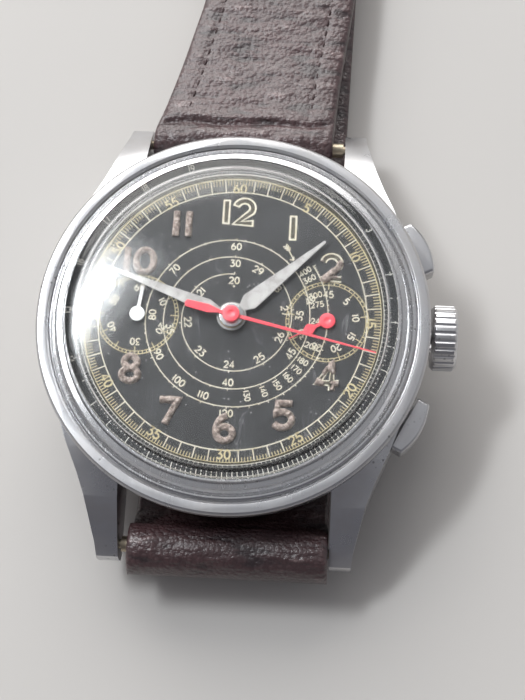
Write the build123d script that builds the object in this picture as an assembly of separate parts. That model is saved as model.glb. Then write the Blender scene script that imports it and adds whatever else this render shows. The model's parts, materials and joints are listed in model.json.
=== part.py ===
from build123d import *
from math import acos, atan2, cos, degrees, hypot, pi, radians, sin
import os

# A two-register chronograph wristwatch lying on its own folded strap.
# +Z up, +Y towards 12 o'clock, +X towards the crown; the origin is on the resting surface, under the dial centre.
# Heights named *_UP are above the top of the dial, so they are mostly negative.

# ---- driving dimensions, mm ----
DIAL_Z = 12.0
CLEAR = 0.05

RIM_R = 18.7
FLANK_R = 17.7
GROOVE_R = 17.45
BORE_R = 15.3
DIAL_R = 15.85
DIAL_T = 0.4
CASE_BOTTOM_UP = -8.6
BACK_T = 0.6

BEZEL_R = 17.3
LIP_R = 15.6
LIP_UP = 1.4
CRYSTAL_FLANGE_R = 16.3
CRYSTAL_TOP_UP = 3.6
CRYSTAL_SIDE_UP = 1.9
CRYSTAL_WALL = 0.45
CRYSTAL_T = 0.9

LUG_GAP = 20.0
LUG_TIP_Y = 22.3
LUG_TIP_W = 2.2
BAR_Y = 20.8
BAR_UP = -7.1
BAR_R = 0.75
BAR_TIP_R = 0.45

CROWN_UP = -3.9
CROWN_R = 3.15
CROWN_IN_X = 18.95
CROWN_OUT_X = 21.3
CROWN_FLUTES = 26
CROWN_PULL = 1.0
CROWN_TUBE_R = 1.3
STEM_R = 0.6
STEM_IN_X = 9.6

PUSHER_UP = -3.3
PUSHER_OUT_R = 20.5
PUSHER_IN_R = 18.65
PUSHER_W = 5.4
PUSHER_H = 2.4
PUSHER_ROD_R = 0.55
PUSHER_ROD_IN_X = 14.75
PUSHER_TUBE_R = 1.05
START_ANGLE = 26
RESET_ANGLE = -28

SUBDIAL_X = 8.9

PLATE_R = 14.8
PLATE_T = 1.3
PLATE_UP = -1.6
BRIDGE_UP = -6.0
BRIDGE_T = 0.8
BRIDGE_POST_R = 0.65
BRIDGE_POST_AT_R = 13.6
BRIDGE_POSTS = (75, 101, 186, 225, 262, 300, 348)

STRAP_T = 1.9
STRAP_PAD_T = 2.5
STRAP_LOOP_R = 2.55
STRAP_LOOP_OUT = 0.3
LOWER_W = 19.0
LOWER_SHIFT = 0.4
LOWER_TIP_W = 16.0
LOWER_TIP_X = 2.6
LOWER_TIP_Y = 72.0
HOLE_FROM_TIP = 16.0
HOLE_COUNT = 6
HOLE_PITCH = 6.5
HOLE_R = 0.9
UPPER_W = 18.4
UPPER_SHIFT = -0.5
UPPER_TAIL_W = 16.0
UPPER_LEAN_X = 3.1
UPPER_STRAIGHT_Y = 50.0
UPPER_T = 2.2
UPPER_FLOOR = 3.2
TAIL_FLOOR = 1.3

BUCKLE_Y = 96.0
BUCKLE_BAR_R = 0.6
BUCKLE_LOOP_R = 1.5
BUCKLE_DEPTH = 12.0
BUCKLE_WIRE = 2.0
BUCKLE_SIDE_GAP = 0.4
TONGUE_R = 0.55
KEEPER_W = 4.0
KEEPER_T = 0.9
KEEPER_GAP = 0.2
FIXED_KEEPER_Y = 88.0
FREE_KEEPER_Y = 62.0

# hands: height of the underside above the dial, and length
HAND_T = 0.12
SMALL_HAND_UP = 0.12
HOUR_HAND_UP = 0.42
MINUTE_HAND_UP = 0.70
CHRONO_HAND_UP = 0.98
HOUR_HAND_L = 11.5
MINUTE_HAND_L = 13.1
CHRONO_HAND_L = 14.0
CHRONO_TAIL_L = 4.5
SMALL_HAND_L = 2.8
RECORDER_HAND_L = 4.0
# clockwise from 12 o'clock, degrees
HOUR_AT = 47.5
MINUTE_AT = 289.9
CHRONO_AT = 102.9
SMALL_AT = 10.5
RECORDER_AT = 242.0

# going train: teeth and modules
CENTRE_TEETH = 80
THIRD_PINION = 10
CENTRE_MODULE = 0.12
THIRD_TEETH = 75
FOURTH_PINION = 10
THIRD_MODULE = 0.11
FOURTH_TEETH = 80
ESCAPE_PINION = 8
FOURTH_MODULE = 0.095
BARREL_TEETH = 78
CENTRE_PINION = 12
BARREL_MODULE = 0.13
BARREL_AT = 50
ESCAPE_AT = 118
MOTION_MODULE = 0.1
CANNON_TEETH = 12
MINUTE_TEETH = 36
MINUTE_PINION = 10
HOUR_TEETH = 40
MINUTE_WHEEL_AT = 200
RATCHET_TEETH = 58
CROWN_TEETH = 40
WINDING_MODULE = 0.15
CROWN_WHEEL_AT = -8.5
RUNNER_R = 3.6
DRIVER_R = 2.9
COUPLER_R = 1.3
RECORDER_R = 2.2
IDLER_R = 1.3
ARBOR_R = 0.25
CHRONO_ARBOR_R = 0.30
BALANCE_XY = (-6.4, 8.8)
BALANCE_R = 3.5
ESCAPE_R = 2.1
COLUMN_XY = (4.6, 8.4)
COLUMN_R = 1.8
OPERATING_PIVOT = (8.4, 10.7)
HAMMER_PIVOT = (3.5, -8.5)


def up(level):
    """Height of a level given above the dial."""
    return DIAL_Z + level


# ---- shape helpers ----
def disc(radius, low, high, at=(0, 0)):
    """Solid cylinder along Z between two heights above the dial."""
    return Pos(at[0], at[1], up(low)) * Cylinder(radius, high - low, align=(Align.CENTER, Align.CENTER, Align.MIN))


def ring(outer, inner, low, high, at=(0, 0)):
    """Cylinder with a bore."""
    return disc(outer, low, high, at) - disc(inner, low - 1, high + 1, at)


def rod_x(radius, x_low, x_high, y=0.0, z=0.0):
    """Cylinder along X."""
    return Pos(x_low, y, z) * Rot(0, 90, 0) * Cylinder(
        radius, x_high - x_low, align=(Align.CENTER, Align.CENTER, Align.MIN)
    )


def plate(points, low, high):
    """Prism over a closed outline, between two heights above the dial."""
    outline = make_face(Polyline(*points, close=True))
    return Pos(0, 0, up(low)) * extrude(outline, high - low)


def turned(points):
    """Solid of revolution about Z of an outline given as radius and height above the dial."""
    outline = make_face(Polyline(*[(r, 0, up(level)) for r, level in points], close=True))
    return revolve(outline, Axis.Z)


def side_profile(points, x_low, x_high):
    """Prism along X over an outline given as Y and Z."""
    outline = make_face(Polyline(*[(x_low, y, z) for y, z in points], close=True))
    return extrude(outline, x_high - x_low, dir=(1, 0, 0))


def link(points, width, low, high):
    """Flat lever: a strip with round ends along a chain of points."""
    body = disc(width / 2, low, high, points[0])
    for start, end in zip(points, points[1:]):
        along = atan2(end[1] - start[1], end[0] - start[0])
        reach = hypot(end[0] - start[0], end[1] - start[1])
        bar = Pos(start[0], start[1], up(low)) * Rot(0, 0, degrees(along)) * Box(
            reach, width, high - low, align=(Align.MIN, Align.CENTER, Align.MIN)
        )
        body = body + bar + disc(width / 2, low, high, end)
    return body


def polar(radius, angle, centre=(0, 0)):
    """Point at a radius and an angle in degrees from +X."""
    return (centre[0] + radius * cos(radians(angle)), centre[1] + radius * sin(radians(angle)))


def hand_frame(clockwise, at, level):
    """Location where +Y points along a hand that stands at an angle clockwise from 12."""
    return Pos(at[0], at[1], up(level)) * Rot(0, 0, -clockwise)


# ---- gears ----
def gear(teeth, module, low, high, at, phase, bore=0.0):
    """Spur gear with straight-sided teeth, slim enough to run free; phase is the angle of one tooth, degrees."""
    pitch_r = teeth * module / 2
    tip_r = pitch_r + 0.8 * module
    root_r = pitch_r - 1.15 * module
    pitch_deg = 360 / teeth
    points = []
    for number in range(teeth):
        middle = phase + number * pitch_deg
        for share, radius in ((-0.30, root_r), (-0.09, tip_r), (0.09, tip_r), (0.30, root_r)):
            points.append(polar(radius, middle + share * pitch_deg, at))
    wheel = plate(points, low, high)
    if bore:
        wheel = wheel - disc(bore, low - 1, high + 1, at)
    return wheel


def spoked(wheel, at, inner, outer, low, high, arms=4):
    """Cut windows between the arms of a wheel."""
    windows = ring(outer, inner, low - 0.1, high + 0.1, at)
    for number in range(arms):
        arm = Pos(at[0], at[1], up(low - 0.2)) * Rot(0, 0, number * 360 / arms) * Box(
            outer + 1, 0.7, high - low + 0.4, align=(Align.MIN, Align.CENTER, Align.MIN)
        )
        windows = windows - arm
    return wheel - windows


def mesh_phase(at_a, teeth_a, phase_a, at_b, teeth_b):
    """Phase of gear b that puts its gap over a tooth of gear a."""
    towards_b = degrees(atan2(at_b[1] - at_a[1], at_b[0] - at_a[0]))
    pitch_a = 360 / teeth_a
    offset = (phase_a - towards_b) % pitch_a
    travel = offset * teeth_a / teeth_b
    return towards_b + 180 - travel + 180 / teeth_b


def centre_distance(teeth_a, teeth_b, module):
    return module * (teeth_a + teeth_b) / 2


# ---- gear centres ----
CENTRE = (0.0, 0.0)
FOURTH_XY = (-SUBDIAL_X, 0.0)
RECORDER_XY = (SUBDIAL_X, 0.0)
centre_to_third = centre_distance(CENTRE_TEETH, THIRD_PINION, CENTRE_MODULE)
third_to_fourth = centre_distance(THIRD_TEETH, FOURTH_PINION, THIRD_MODULE)
third_x = (SUBDIAL_X**2 + centre_to_third**2 - third_to_fourth**2) / (2 * SUBDIAL_X)
THIRD_XY = polar(centre_to_third, 180 + degrees(acos(third_x / centre_to_third)))
ESCAPE_XY = polar(centre_distance(FOURTH_TEETH, ESCAPE_PINION, FOURTH_MODULE), ESCAPE_AT, FOURTH_XY)
BARREL_XY = polar(centre_distance(BARREL_TEETH, CENTRE_PINION, BARREL_MODULE), BARREL_AT)
MINUTE_XY = polar(centre_distance(CANNON_TEETH, MINUTE_TEETH, MOTION_MODULE), MINUTE_WHEEL_AT)
CROWN_WHEEL_XY = polar(centre_distance(RATCHET_TEETH, CROWN_TEETH, WINDING_MODULE), CROWN_WHEEL_AT, BARREL_XY)
HOUR_MODULE = MOTION_MODULE * (CANNON_TEETH + MINUTE_TEETH) / (MINUTE_PINION + HOUR_TEETH)

parts = {}


# ---- case ----
def make_mid_case():
    wall = turned([
        (BORE_R, CASE_BOTTOM_UP), (FLANK_R - 0.5, CASE_BOTTOM_UP), (FLANK_R, CASE_BOTTOM_UP + 0.5),
        (FLANK_R, -2.2), (RIM_R - 0.6, -1.5), (RIM_R, -1.0), (RIM_R, 0.05), (RIM_R - 0.25, 0.3),
        (GROOVE_R + 0.25, 0.3), (GROOVE_R, 0.1), (GROOVE_R, -DIAL_T), (BORE_R, -DIAL_T),
    ])
    inner_x = LUG_GAP / 2
    tip_x = inner_x + LUG_TIP_W
    flank = [
        (inner_x, 8.0), (16.6, 8.0), (15.2, 11.8), (14.0, 14.6), (13.2, 16.8), (tip_x + 0.05, BAR_Y),
        (tip_x - 0.1, LUG_TIP_Y), (inner_x, LUG_TIP_Y),
    ]
    lug_side = [
        (8.0, up(-1.4)), (12.5, up(-1.8)), (17.0, up(-3.1)), (20.4, up(-5.2)), (LUG_TIP_Y - 0.2, up(-6.6)),
        (LUG_TIP_Y, up(-7.2)), (LUG_TIP_Y, up(-8.4)), (LUG_TIP_Y - 0.5, up(-8.8)), (17.0, up(CASE_BOTTOM_UP)),
        (8.0, up(CASE_BOTTOM_UP)),
    ]
    lug = plate(flank, CASE_BOTTOM_UP - 1, 1) & side_profile(lug_side, 0, 30)
    lug = lug - disc(BORE_R + 0.2, CASE_BOTTOM_UP - 1, 1)
    lug = lug - rod_x(BAR_TIP_R + CLEAR, inner_x - 1, inner_x + 1.3, BAR_Y, up(BAR_UP))
    body = wall
    for corner in (lug, mirror(lug, Plane.YZ)):
        body = body + corner + mirror(corner, Plane.XZ)
    body = body - ring(GROOVE_R, BORE_R, -DIAL_T, 2)
    body = body - ring(16.45, BORE_R - 1, CASE_BOTTOM_UP - 1, CASE_BOTTOM_UP + 0.3)
    body = body - ring(15.85, BORE_R - 1, CASE_BOTTOM_UP - 1, CASE_BOTTOM_UP + 1.2)
    body = body - rod_x(CROWN_TUBE_R, BORE_R - 2, RIM_R + 2, 0, up(CROWN_UP))
    for angle in (START_ANGLE, RESET_ANGLE):
        body = body - Rot(0, 0, angle) * rod_x(PUSHER_TUBE_R, BORE_R - 2, RIM_R + 2, 0, up(PUSHER_UP))
        recess = Pos(FLANK_R + 0.05, 0, up(PUSHER_UP)) * Box(
            5, PUSHER_W + 0.3, PUSHER_H + 0.3, align=(Align.MIN, Align.CENTER, Align.CENTER)
        )
        body = body - Rot(0, 0, angle) * recess
    return body


parts["mid_case"] = make_mid_case()

parts["bezel"] = turned([
    (16.35, -DIAL_T), (BEZEL_R, -DIAL_T), (BEZEL_R, 0.15), (17.15, 0.24), (17.0, 0.24), (16.9, 0.1),
    (16.45, 0.92), (16.0, 1.0), (LIP_R + 0.2, LIP_UP), (LIP_R, LIP_UP), (LIP_R, 0.8), (16.35, 0.8),
])


def make_crystal():
    """Domed crystal: a spherical cap on a short side wall, with a flange under the bezel's lip."""
    side_r = LIP_R - CLEAR
    rise = CRYSTAL_TOP_UP - CRYSTAL_SIDE_UP
    dome_r = (side_r**2 + rise**2) / (2 * rise)
    ball = Pos(0, 0, up(CRYSTAL_TOP_UP - dome_r)) * Sphere(dome_r)
    inner_ball = Pos(0, 0, up(CRYSTAL_TOP_UP - dome_r)) * Sphere(dome_r - CRYSTAL_T)
    outer = disc(side_r, CLEAR, CRYSTAL_TOP_UP + 1) & ball
    outer = outer + disc(CRYSTAL_FLANGE_R, CLEAR, 0.75)
    inner = disc(side_r - CRYSTAL_WALL, CLEAR - 1, CRYSTAL_TOP_UP) & inner_ball
    return outer - inner


parts["crystal"] = make_crystal()

back_low = CASE_BOTTOM_UP - BACK_T
parts["case_back"] = (
    disc(16.4, back_low, CASE_BOTTOM_UP + 0.25)
    - disc(15.2, CASE_BOTTOM_UP - 0.1, CASE_BOTTOM_UP + 1)
    + ring(15.6, 15.0, CASE_BOTTOM_UP - 0.1, CASE_BOTTOM_UP + 1.1)
)
parts["case_back_gasket"] = ring(15.82, 15.62, CASE_BOTTOM_UP + 0.3, CASE_BOTTOM_UP + 1.1)
parts["crown_tube"] = rod_x(CROWN_TUBE_R, BORE_R + 0.05, CROWN_IN_X - 0.25, 0, up(CROWN_UP)) - rod_x(
    STEM_R + 0.1, BORE_R - 1, CROWN_IN_X + 1, 0, up(CROWN_UP)
)


def radial_tube(angle):
    tube = rod_x(PUSHER_TUBE_R, BORE_R + 0.05, FLANK_R, 0, up(PUSHER_UP))
    tube = tube - rod_x(PUSHER_ROD_R + CLEAR, BORE_R - 1, FLANK_R + 1, 0, up(PUSHER_UP))
    return Rot(0, 0, angle) * tube


parts["pusher_tubes"] = [radial_tube(START_ANGLE), radial_tube(RESET_ANGLE)]

spring_bar = rod_x(BAR_R, -LUG_GAP / 2 + 0.2, LUG_GAP / 2 - 0.2, BAR_Y, up(BAR_UP)) + rod_x(
    BAR_TIP_R, -LUG_GAP / 2 - 1.1, LUG_GAP / 2 + 1.1, BAR_Y, up(BAR_UP)
)
parts["spring_bars"] = [spring_bar, mirror(spring_bar, Plane.XZ)]

# ---- crown, stem and pushers ----
def make_crown():
    body = rod_x(CROWN_R, CROWN_IN_X, CROWN_OUT_X, 0, up(CROWN_UP))
    rim = body.edges().filter_by(GeomType.CIRCLE)
    body = chamfer(rim, 0.3)
    for number in range(CROWN_FLUTES):
        y, z = polar(CROWN_R + 0.12, number * 360 / CROWN_FLUTES)
        body = body - rod_x(0.24, CROWN_IN_X - 1, CROWN_OUT_X + 1, y, up(CROWN_UP) + z)
    body = body - rod_x(CROWN_TUBE_R + 0.15, CROWN_IN_X - 1, CROWN_IN_X + 1.1, 0, up(CROWN_UP))
    return body - rod_x(STEM_R, CROWN_IN_X - 1, CROWN_OUT_X - 0.6, 0, up(CROWN_UP))


parts["crown"] = make_crown()
SLIDING_X = (10.2, 11.5)
WINDING_X = (11.7, 13.0)
parts["stem"] = (
    rod_x(STEM_R, SLIDING_X[0] - 0.3, CROWN_OUT_X - 0.6, 0, up(CROWN_UP))
    + rod_x(STEM_R / 2, STEM_IN_X, SLIDING_X[0], 0, up(CROWN_UP))
)


def stem_pinion(x_range, radius, teeth):
    """Toothed sleeve that rides on the stem."""
    body = rod_x(radius, x_range[0], x_range[1], 0, up(CROWN_UP))
    for number in range(teeth):
        y, z = polar(radius, number * 360 / teeth)
        body = body - rod_x(0.13, x_range[0] - 1, x_range[1] + 1, y, up(CROWN_UP) + z)
    return body - rod_x(STEM_R + 0.04, x_range[0] - 1, x_range[1] + 1, 0, up(CROWN_UP))


parts["winding_pinion"] = stem_pinion(WINDING_X, 1.15, 14)
parts["sliding_pinion"] = stem_pinion(SLIDING_X, 1.0, 12)


def make_pusher(angle):
    """Rectangular head with a rounded outer face, on a round rod."""
    head = Pos(PUSHER_IN_R, 0, up(PUSHER_UP)) * Box(
        PUSHER_OUT_R - PUSHER_IN_R, PUSHER_W, PUSHER_H, align=(Align.MIN, Align.CENTER, Align.CENTER)
    )
    head = head & Pos(PUSHER_OUT_R - 6.5, 0, up(PUSHER_UP)) * Cylinder(6.5, PUSHER_H + 1)
    head = chamfer(head.edges().group_by(Axis.Z)[-1] + head.edges().group_by(Axis.Z)[0], 0.2)
    rod = rod_x(PUSHER_ROD_R, PUSHER_ROD_IN_X, PUSHER_IN_R + 0.3, 0, up(PUSHER_UP))
    return Rot(0, 0, angle) * (head + rod)


parts["start_pusher"] = make_pusher(START_ANGLE)
parts["reset_pusher"] = make_pusher(RESET_ANGLE)

# ---- dial and hands ----
HOUR_PIPE_R = 1.15
DIAL_FEET = (58, 238)
CANNON_R = 0.85
parts["dial"] = (
    disc(DIAL_R, -DIAL_T, 0)
    - disc(HOUR_PIPE_R + 0.1, -1, 1)
    - disc(0.4, -1, 1, FOURTH_XY)
    - disc(0.4, -1, 1, RECORDER_XY)
)
for sub_xy in (FOURTH_XY, RECORDER_XY):
    recess = disc(4.1, -0.06, 1, sub_xy)
    parts["dial"] = parts["dial"] - recess
for foot_at in DIAL_FEET:
    parts["dial"] = parts["dial"] + disc(0.4, -1.9, -DIAL_T + 0.1, polar(13.4, foot_at))


def flat_hand(outline, clockwise, at, level, thickness=HAND_T):
    """Flat blade pointing along +Y in its own frame, given as one side's points."""
    mirrored = [(-x, y) for x, y in reversed(outline) if x]
    face = make_face(Polyline(*(outline + mirrored), close=True))
    return hand_frame(clockwise, at, level) * extrude(face, thickness)


def hub(radius, bore, level, height, at=CENTRE):
    return ring(radius, bore, level, level + height, at)


hour_blade = [(0.0, HOUR_HAND_L), (0.16, HOUR_HAND_L - 0.3), (0.79, 1.9), (0.45, 0.9), (0.0, 0.9)]
minute_blade = [(0.0, MINUTE_HAND_L), (0.13, MINUTE_HAND_L - 0.3), (0.62, 2.2), (0.4, 0.8), (0.0, 0.8)]
hour_hand = flat_hand(hour_blade, HOUR_AT, CENTRE, HOUR_HAND_UP) + hub(1.4, HOUR_PIPE_R, HOUR_HAND_UP, HAND_T)
parts["hour_hand"] = hour_hand - disc(HOUR_PIPE_R, 0, 2)
minute_hand = flat_hand(minute_blade, MINUTE_AT, CENTRE, MINUTE_HAND_UP) + disc(
    1.15, MINUTE_HAND_UP, MINUTE_HAND_UP + HAND_T
)
parts["minute_hand"] = minute_hand - disc(CANNON_R, 0, 2)
chrono_blade = [(0.0, CHRONO_HAND_L), (0.06, CHRONO_HAND_L - 0.1), (0.17, 0.6), (0.0, 0.6)]
chrono_tail = [(0.0, CHRONO_TAIL_L), (0.35, CHRONO_TAIL_L - 0.15), (0.4, 2.2), (0.17, 1.2), (0.17, 0.5), (0.0, 0.5)]
chrono_hand = (
    flat_hand(chrono_blade, CHRONO_AT, CENTRE, CHRONO_HAND_UP)
    + flat_hand(chrono_tail, CHRONO_AT + 180, CENTRE, CHRONO_HAND_UP)
    + disc(0.8, CHRONO_HAND_UP, CHRONO_HAND_UP + 0.5)
)
parts["chronograph_hand"] = chrono_hand - disc(CHRONO_ARBOR_R, 0, CHRONO_HAND_UP + 0.3)
baton = [(0.0, SMALL_HAND_L), (0.17, SMALL_HAND_L), (0.17, 0.5), (0.0, 0.5)]
small_hand = flat_hand(baton, SMALL_AT, FOURTH_XY, SMALL_HAND_UP) + disc(
    0.72, SMALL_HAND_UP, SMALL_HAND_UP + HAND_T, FOURTH_XY
)
parts["small_seconds_hand"] = small_hand - disc(ARBOR_R, 0, SMALL_HAND_UP + 0.06, FOURTH_XY)
spade = [
    (0.0, RECORDER_HAND_L), (0.05, RECORDER_HAND_L - 0.05), (0.08, 2.5), (0.5, 1.95), (0.16, 1.25), (0.16, 0.5),
    (0.0, 0.5),
]
recorder_hand = flat_hand(spade, RECORDER_AT, RECORDER_XY, SMALL_HAND_UP) + disc(
    0.72, SMALL_HAND_UP, SMALL_HAND_UP + HAND_T + 0.06, RECORDER_XY
)
parts["recorder_hand"] = recorder_hand - disc(ARBOR_R, 0, SMALL_HAND_UP + 0.06, RECORDER_XY)

# ---- levels of the movement, above the dial ----
MOTION = (-1.45, -1.1)
HOUR_LEVEL = (-0.9, -0.6)
PLATE_LOW = PLATE_UP - PLATE_T
CENTRE_LEVEL = (-3.4, -3.15)
THIRD_LEVEL = (-3.95, -3.7)
FOURTH_LEVEL = (-4.5, -4.25)
ESCAPE_LEVEL = (-4.95, -4.75)
BARREL_LEVEL = (-5.1, -3.6)
BARREL_TOOTH = (-4.1, -3.6)
RATCHET_LEVEL = (-5.65, -5.25)
BALANCE_LEVEL = (-5.5, -5.15)
BRIDGE_LOW = BRIDGE_UP - BRIDGE_T
RUNNER_LEVEL = (-7.2, -6.95)
LEVER_LEVEL = (-7.75, -7.4)
TOP_BRIDGE = (-8.3, -7.95)
PIVOT_IN_PLATE = PLATE_LOW + 0.5
PIVOT_IN_BRIDGE = BRIDGE_UP - 0.4
HOLE = ARBOR_R + 0.03

# ---- hour, minute and centre wheels ----
CENTRE_TUBE_R = 0.62
CENTRE_BORE = CHRONO_ARBOR_R + 0.05
parts["centre_wheel"] = (
    spoked(
        gear(CENTRE_TEETH, CENTRE_MODULE, *CENTRE_LEVEL, CENTRE, 0, CENTRE_BORE),
        CENTRE, 1.3, 4.0, *CENTRE_LEVEL, 5,
    )
    + gear(CENTRE_PINION, BARREL_MODULE, BARREL_TOOTH[0] - 0.1, CENTRE_LEVEL[0], CENTRE, 5, CENTRE_BORE)
    + ring(CENTRE_TUBE_R, CENTRE_BORE, PIVOT_IN_BRIDGE, BARREL_TOOTH[0])
    + ring(CENTRE_TUBE_R, CENTRE_BORE, CENTRE_LEVEL[1], MINUTE_HAND_UP)
)
parts["cannon_pinion"] = ring(CANNON_R, CENTRE_TUBE_R, MOTION[0], MINUTE_HAND_UP + HAND_T - 0.02) - disc(
    2, MOTION[0] - 1, MOTION[1]
) + gear(CANNON_TEETH, MOTION_MODULE, *MOTION, CENTRE, 0, CENTRE_TUBE_R)
minute_phase = mesh_phase(CENTRE, CANNON_TEETH, 0, MINUTE_XY, MINUTE_TEETH)
parts["minute_wheel"] = (
    gear(MINUTE_TEETH, MOTION_MODULE, *MOTION, MINUTE_XY, minute_phase)
    + gear(MINUTE_PINION, HOUR_MODULE, MOTION[1], HOUR_LEVEL[1], MINUTE_XY, 0)
    + disc(ARBOR_R, MOTION[0] - 0.6, MOTION[0], MINUTE_XY)
)
hour_phase = mesh_phase(MINUTE_XY, MINUTE_PINION, 0, CENTRE, HOUR_TEETH)
parts["hour_wheel"] = gear(
    HOUR_TEETH, HOUR_MODULE, *HOUR_LEVEL, CENTRE, hour_phase, CANNON_R + CLEAR
) + ring(HOUR_PIPE_R, CANNON_R + CLEAR, HOUR_LEVEL[0], HOUR_HAND_UP + HAND_T - 0.02)

# ---- third, fourth and escape wheels ----
third_phase = mesh_phase(CENTRE, CENTRE_TEETH, 0, THIRD_XY, THIRD_PINION)
parts["third_wheel"] = (
    disc(ARBOR_R, PIVOT_IN_BRIDGE, PIVOT_IN_PLATE, THIRD_XY)
    + gear(THIRD_PINION, CENTRE_MODULE, THIRD_LEVEL[1], CENTRE_LEVEL[1] + 0.1, THIRD_XY, third_phase)
    + spoked(gear(THIRD_TEETH, THIRD_MODULE, *THIRD_LEVEL, THIRD_XY, 0), THIRD_XY, 1.0, 3.5, *THIRD_LEVEL)
)
fourth_phase = mesh_phase(THIRD_XY, THIRD_TEETH, 0, FOURTH_XY, FOURTH_PINION)
parts["fourth_wheel"] = (
    disc(ARBOR_R, LEVER_LEVEL[0] + 0.45, SMALL_HAND_UP + 0.06, FOURTH_XY)
    + gear(FOURTH_PINION, THIRD_MODULE, FOURTH_LEVEL[1], THIRD_LEVEL[1] + 0.05, FOURTH_XY, fourth_phase)
    + spoked(gear(FOURTH_TEETH, FOURTH_MODULE, *FOURTH_LEVEL, FOURTH_XY, 0), FOURTH_XY, 0.9, 3.1, *FOURTH_LEVEL)
    + gear(90, 2 * DRIVER_R / 90, *RUNNER_LEVEL, FOURTH_XY, 0)
)
escape_phase = mesh_phase(FOURTH_XY, FOURTH_TEETH, 0, ESCAPE_XY, ESCAPE_PINION)


def escape_teeth():
    """Club-like pointed teeth, all leaning one way."""
    points = []
    for number in range(15):
        start = number * 24
        points.append(polar(ESCAPE_R - 0.55, start, ESCAPE_XY))
        points.append(polar(ESCAPE_R, start + 9, ESCAPE_XY))
        points.append(polar(ESCAPE_R - 0.08, start + 13, ESCAPE_XY))
        points.append(polar(ESCAPE_R - 0.55, start + 10, ESCAPE_XY))
    return plate(points, *ESCAPE_LEVEL)


parts["escape_wheel"] = (
    disc(ARBOR_R, PIVOT_IN_BRIDGE, PIVOT_IN_PLATE, ESCAPE_XY)
    + gear(ESCAPE_PINION, FOURTH_MODULE, ESCAPE_LEVEL[1], FOURTH_LEVEL[1] + 0.1, ESCAPE_XY, escape_phase)
    + spoked(escape_teeth(), ESCAPE_XY, 0.6, 1.3, *ESCAPE_LEVEL)
)

# ---- escapement and balance ----
to_balance = degrees(atan2(BALANCE_XY[1] - ESCAPE_XY[1], BALANCE_XY[0] - ESCAPE_XY[0]))
PALLET_XY = polar(ESCAPE_R + 0.58, to_balance, ESCAPE_XY)
ROLLER_R = 0.7
fork_reach = hypot(BALANCE_XY[0] - PALLET_XY[0], BALANCE_XY[1] - PALLET_XY[1]) - ROLLER_R - 0.25
fork_tip = polar(fork_reach, to_balance, PALLET_XY)
arm_up = polar(1.5, to_balance + 90, PALLET_XY)
arm_down = polar(1.5, to_balance - 90, PALLET_XY)
fork = (
    link([arm_up, PALLET_XY, arm_down], 0.4, *ESCAPE_LEVEL)
    + link([PALLET_XY, fork_tip], 0.4, *ESCAPE_LEVEL)
    + disc(ARBOR_R, PIVOT_IN_BRIDGE, PIVOT_IN_PLATE, PALLET_XY)
)
for arm in (arm_up, arm_down):
    inward = polar(0.55, to_balance + 180, arm)
    fork = fork + link([arm, inward], 0.3, *ESCAPE_LEVEL)
parts["pallet_fork"] = fork - disc(ESCAPE_R + 0.08, *ESCAPE_LEVEL, ESCAPE_XY)
balance = (
    ring(BALANCE_R, BALANCE_R - 0.45, *BALANCE_LEVEL, BALANCE_XY)
    + link([polar(BALANCE_R - 0.3, 20, BALANCE_XY), polar(BALANCE_R - 0.3, 200, BALANCE_XY)], 0.6, *BALANCE_LEVEL)
    + disc(ARBOR_R, PIVOT_IN_BRIDGE, PIVOT_IN_PLATE, BALANCE_XY)
    + disc(ROLLER_R, ESCAPE_LEVEL[0] - 0.1, ESCAPE_LEVEL[1], BALANCE_XY)
)
for number in range(12):
    screw_xy = polar(BALANCE_R + 0.1, 10 + number * 30, BALANCE_XY)
    balance = balance + disc(0.17, BALANCE_LEVEL[0] + 0.05, BALANCE_LEVEL[1] - 0.05, screw_xy)
parts["balance_wheel"] = balance


def spiral_spring(centre, inner, outer, turns, width, low, high):
    """Flat spiral of half circles that step out by the same amount."""
    halves = int(2 * turns)
    step = (outer - inner) / halves
    body = None
    for number in range(halves):
        radius = inner + step * number
        shift = step / 2 if number % 2 else -step / 2
        middle = (centre[0] + (step / 2 if number % 2 else 0), centre[1])
        half = ring(radius + width / 2, radius - width / 2, low, high, middle)
        sign = -1 if number % 2 else 1
        keep = Pos(middle[0], middle[1] + sign * 10, up((low + high) / 2)) * Box(40, 20, high - low + 1)
        piece = half & keep
        body = piece if body is None else body + piece
    return body


HAIR_LEVEL = (-5.75, -5.62)
parts["hairspring"] = spiral_spring(BALANCE_XY, ARBOR_R + 0.05, ARBOR_R + 1.85, 3, 0.11, *HAIR_LEVEL)

# ---- barrel ----
barrel_phase = mesh_phase(CENTRE, CENTRE_PINION, 5, BARREL_XY, BARREL_TEETH)
DRUM_R = BARREL_TEETH * BARREL_MODULE / 2 - 0.35
BARREL_ARBOR_R = 0.8
parts["barrel"] = (
    gear(BARREL_TEETH, BARREL_MODULE, *BARREL_TOOTH, BARREL_XY, barrel_phase)
    + disc(DRUM_R, *BARREL_LEVEL, BARREL_XY)
    - disc(DRUM_R - 0.3, BARREL_LEVEL[0] + 0.25, BARREL_LEVEL[1] - 0.25, BARREL_XY)
    - disc(BARREL_ARBOR_R + 0.04, BARREL_LEVEL[0] - 1, BARREL_LEVEL[1] + 1, BARREL_XY)
)
parts["mainspring"] = spiral_spring(
    BARREL_XY, BARREL_ARBOR_R + 0.3, DRUM_R - 0.45, 5, 0.15, BARREL_LEVEL[0] + 0.3, BARREL_LEVEL[1] - 0.3
)
parts["barrel_arbor"] = (
    disc(BARREL_ARBOR_R, RATCHET_LEVEL[1], PLATE_LOW - 0.05, BARREL_XY)
    + disc(BARREL_ARBOR_R - 0.3, PIVOT_IN_BRIDGE, PIVOT_IN_PLATE, BARREL_XY)
)
parts["ratchet_wheel"] = gear(
    RATCHET_TEETH, WINDING_MODULE, *RATCHET_LEVEL, BARREL_XY, 0, BARREL_ARBOR_R - 0.3
)
crown_phase = mesh_phase(BARREL_XY, RATCHET_TEETH, 0, CROWN_WHEEL_XY, CROWN_TEETH)
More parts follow.
